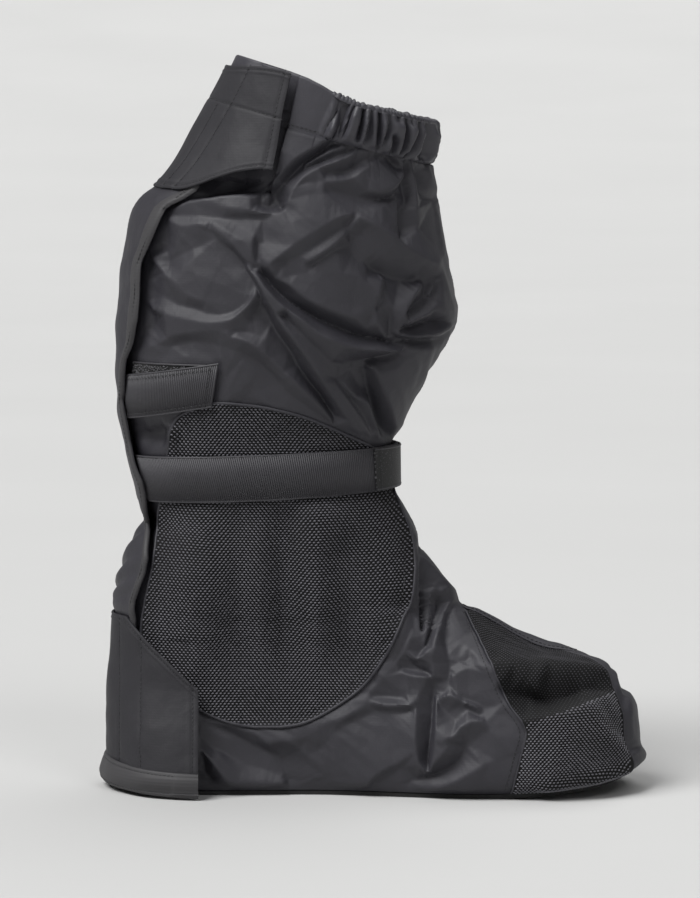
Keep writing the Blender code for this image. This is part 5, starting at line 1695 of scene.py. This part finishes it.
def makeWebbing(name, size, middle, turns, node):
    ground = tapeGrid(turns, middle, size["width"], size["off"])
    seat(slab(name + "Ground", ground, size["thick"] - 0.55, webbing), "webbing", node)
    ribTurns = spacedTurns(turns, ground, size["pitch"])
    ribGrid = tapeGrid(ribTurns, middle, size["width"], size["off"] + size["thick"] - 0.6, 3)
    along = unit(ribGrid[2] - ribGrid[0])
    out = unit(np.cross(np.gradient(ribGrid[1], axis=0), along))
    sizes = {"Length": (size["width"] - 0.8) * mm, "Width": size["pitch"] * 1.02 * mm, "Height": 1.1 * mm,
             "Seed": 4}
    ribs = pointGuide(name + "Ribs", ribGrid[1], out, along)
    seat(grow(name + "Ribs", ribs, webbingRibs, sizes), "webbing")
    edge = tapeGrid(turns, middle, size["width"] - 0.6, size["off"] + size["thick"] - 0.75, 2)
    layCord(name + "Edges", [*edge], webbingEdges, 0.6, "webbing")


def makeStrap():
    start = innerPlace(strap["backX"], strap["backZ"])[1]
    ring, tapeStart = innerPlace(pileTape["startX"], strap["frontZ"])
    end = 2 * pi + turnByArc(ring, 0.0, strap["farWrap"])
    tapeEnd = 2 * pi + turnByArc(ring, 0.0, pileTape["farWrap"])
    makeWebbing("ankleStrap", strap, strapMiddle, np.linspace(start, end, 150), "ankle_strap")
    makePile("strapPileTape", pileTape, strapMiddle, np.linspace(tapeStart, tapeEnd, 90), "strap_pile_tape")


def makePile(name, size, middle, turns, node):
    ground = tapeGrid(turns, middle, size["width"], size["off"], 7)
    seat(slab(name, ground, size["thick"] - 0.8, pileGround), "pile_tape", node)
    top = tapeGrid(turns, middle, size["width"] - 3.4, size["off"] + size["thick"] - 0.75, 7)
    rows, columns = top.shape[:2]
    guide = meshObject(name + "Loops", top.reshape(-1, 3), gridFaces(rows, columns), None)
    sizes = {"Density": 0.62e6, "Loop": 1.25 * mm, "Seed": 9}
    seat(grow(name + "Loops", guide, pileLoops, sizes), "pile_tape")
    edge = tapeGrid(turns, middle, size["width"] - 1.0, size["off"] + size["thick"] - 0.8, 2)
    layCord(name + "Edges", [*edge], webbingEdges, 0.55, "pile_tape")
    end = tapeGrid(turns[:6], middle, size["width"] - 2.0, size["off"] + size["thick"] + 0.35, 24)
    sewLines(name + "Stitches", [end[:, 3]], "pile_tape")


def makeTab():
    start = innerPlace(tab["backX"], tab["backZ"])[1]
    end = innerPlace(tab["freeX"], tab["freeZ"])[1]
    turns = np.linspace(start, end, 70)
    makeWebbing("closingTab", tab, tabMiddle, turns, "closing_tab")
    top = tapeGrid(turns, tabMiddle, tab["width"] - 4.4, tab["off"] + tab["thick"] + 0.2, 24)
    sewLines("tabStitches", [top[0, 2:-4], top[-1, 2:-4], top[:, -5]], "webbing")
    patchStart = innerPlace(patch["backX"], patch["z"])[1]
    patchEnd = innerPlace(patch["freeX"], patch["z"])[1]
    turns = np.linspace(patchStart, patchEnd, 60)
    makePile("tabPilePatch", patch, lambda x: np.full(np.shape(x), patch["z"]), turns, "tab_pile_patch")


makeStrap()
makeTab()
print("tapes ready")


# The sole keeps its solid and gets its rubber
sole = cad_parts["sole"]
sole.data.materials.clear()
sole.data.materials.append(rubber)


# Floor and light: a wide dish that rises far away on every side, so no view meets a wall

stage = {"flat": 4.0, "rim": 18.0, "rise": 0.014, "rings": 14, "sides": 96}  # metres


def makeFloor():
    radii = np.linspace(stage["flat"], stage["rim"], stage["rings"])
    angles = np.linspace(0.0, 2 * pi, stage["sides"], endpoint=False)
    rows = [(stage["flat"] - 0.4, 0.0)] + [(r, stage["rise"] * (r - stage["flat"]) ** 2) for r in radii]
    points = [(r * math.cos(a), r * math.sin(a), z) for r, z in rows for a in angles]
    faces = [list(range(stage["sides"]))]
    faces += gridFaces(len(rows), stage["sides"], closed=True, flip=True).tolist()
    floor = meshObject("floor", np.array(points) / mm, faces, paintedFloor())


makeFloor()
lights = {
    # where it comes from, how wide it looks in degrees, watts on a square metre
    "key": ((-1.2, -0.9, 2.1), 35.0, 3.6),
    "fill": ((1.0, -1.6, 1.85), 22.0, 0.52),
    "top": ((0.4, 0.8, 2.1), 45.0, 1.0),
}
for name, (place, wide, watts) in lights.items():
    lamp = bpy.data.lights.new(name, "SUN")
    lamp.angle = math.radians(wide)
    lamp.energy = watts
    holder = bpy.data.objects.new(name, lamp)
    holder.location = place
    holder.rotation_euler = holder.location.to_track_quat("Z", "Y").to_euler()
    bpy.context.scene.collection.objects.link(holder)
world = bpy.data.worlds.new("studio")
world.use_nodes = True
world.node_tree.nodes["Background"].inputs["Color"].default_value = linear("#e4e4e6")
world.node_tree.nodes["Background"].inputs["Strength"].default_value = 0.09
bpy.context.scene.world = world
bpy.context.scene.view_settings.view_transform = "Standard"
print("stage ready")
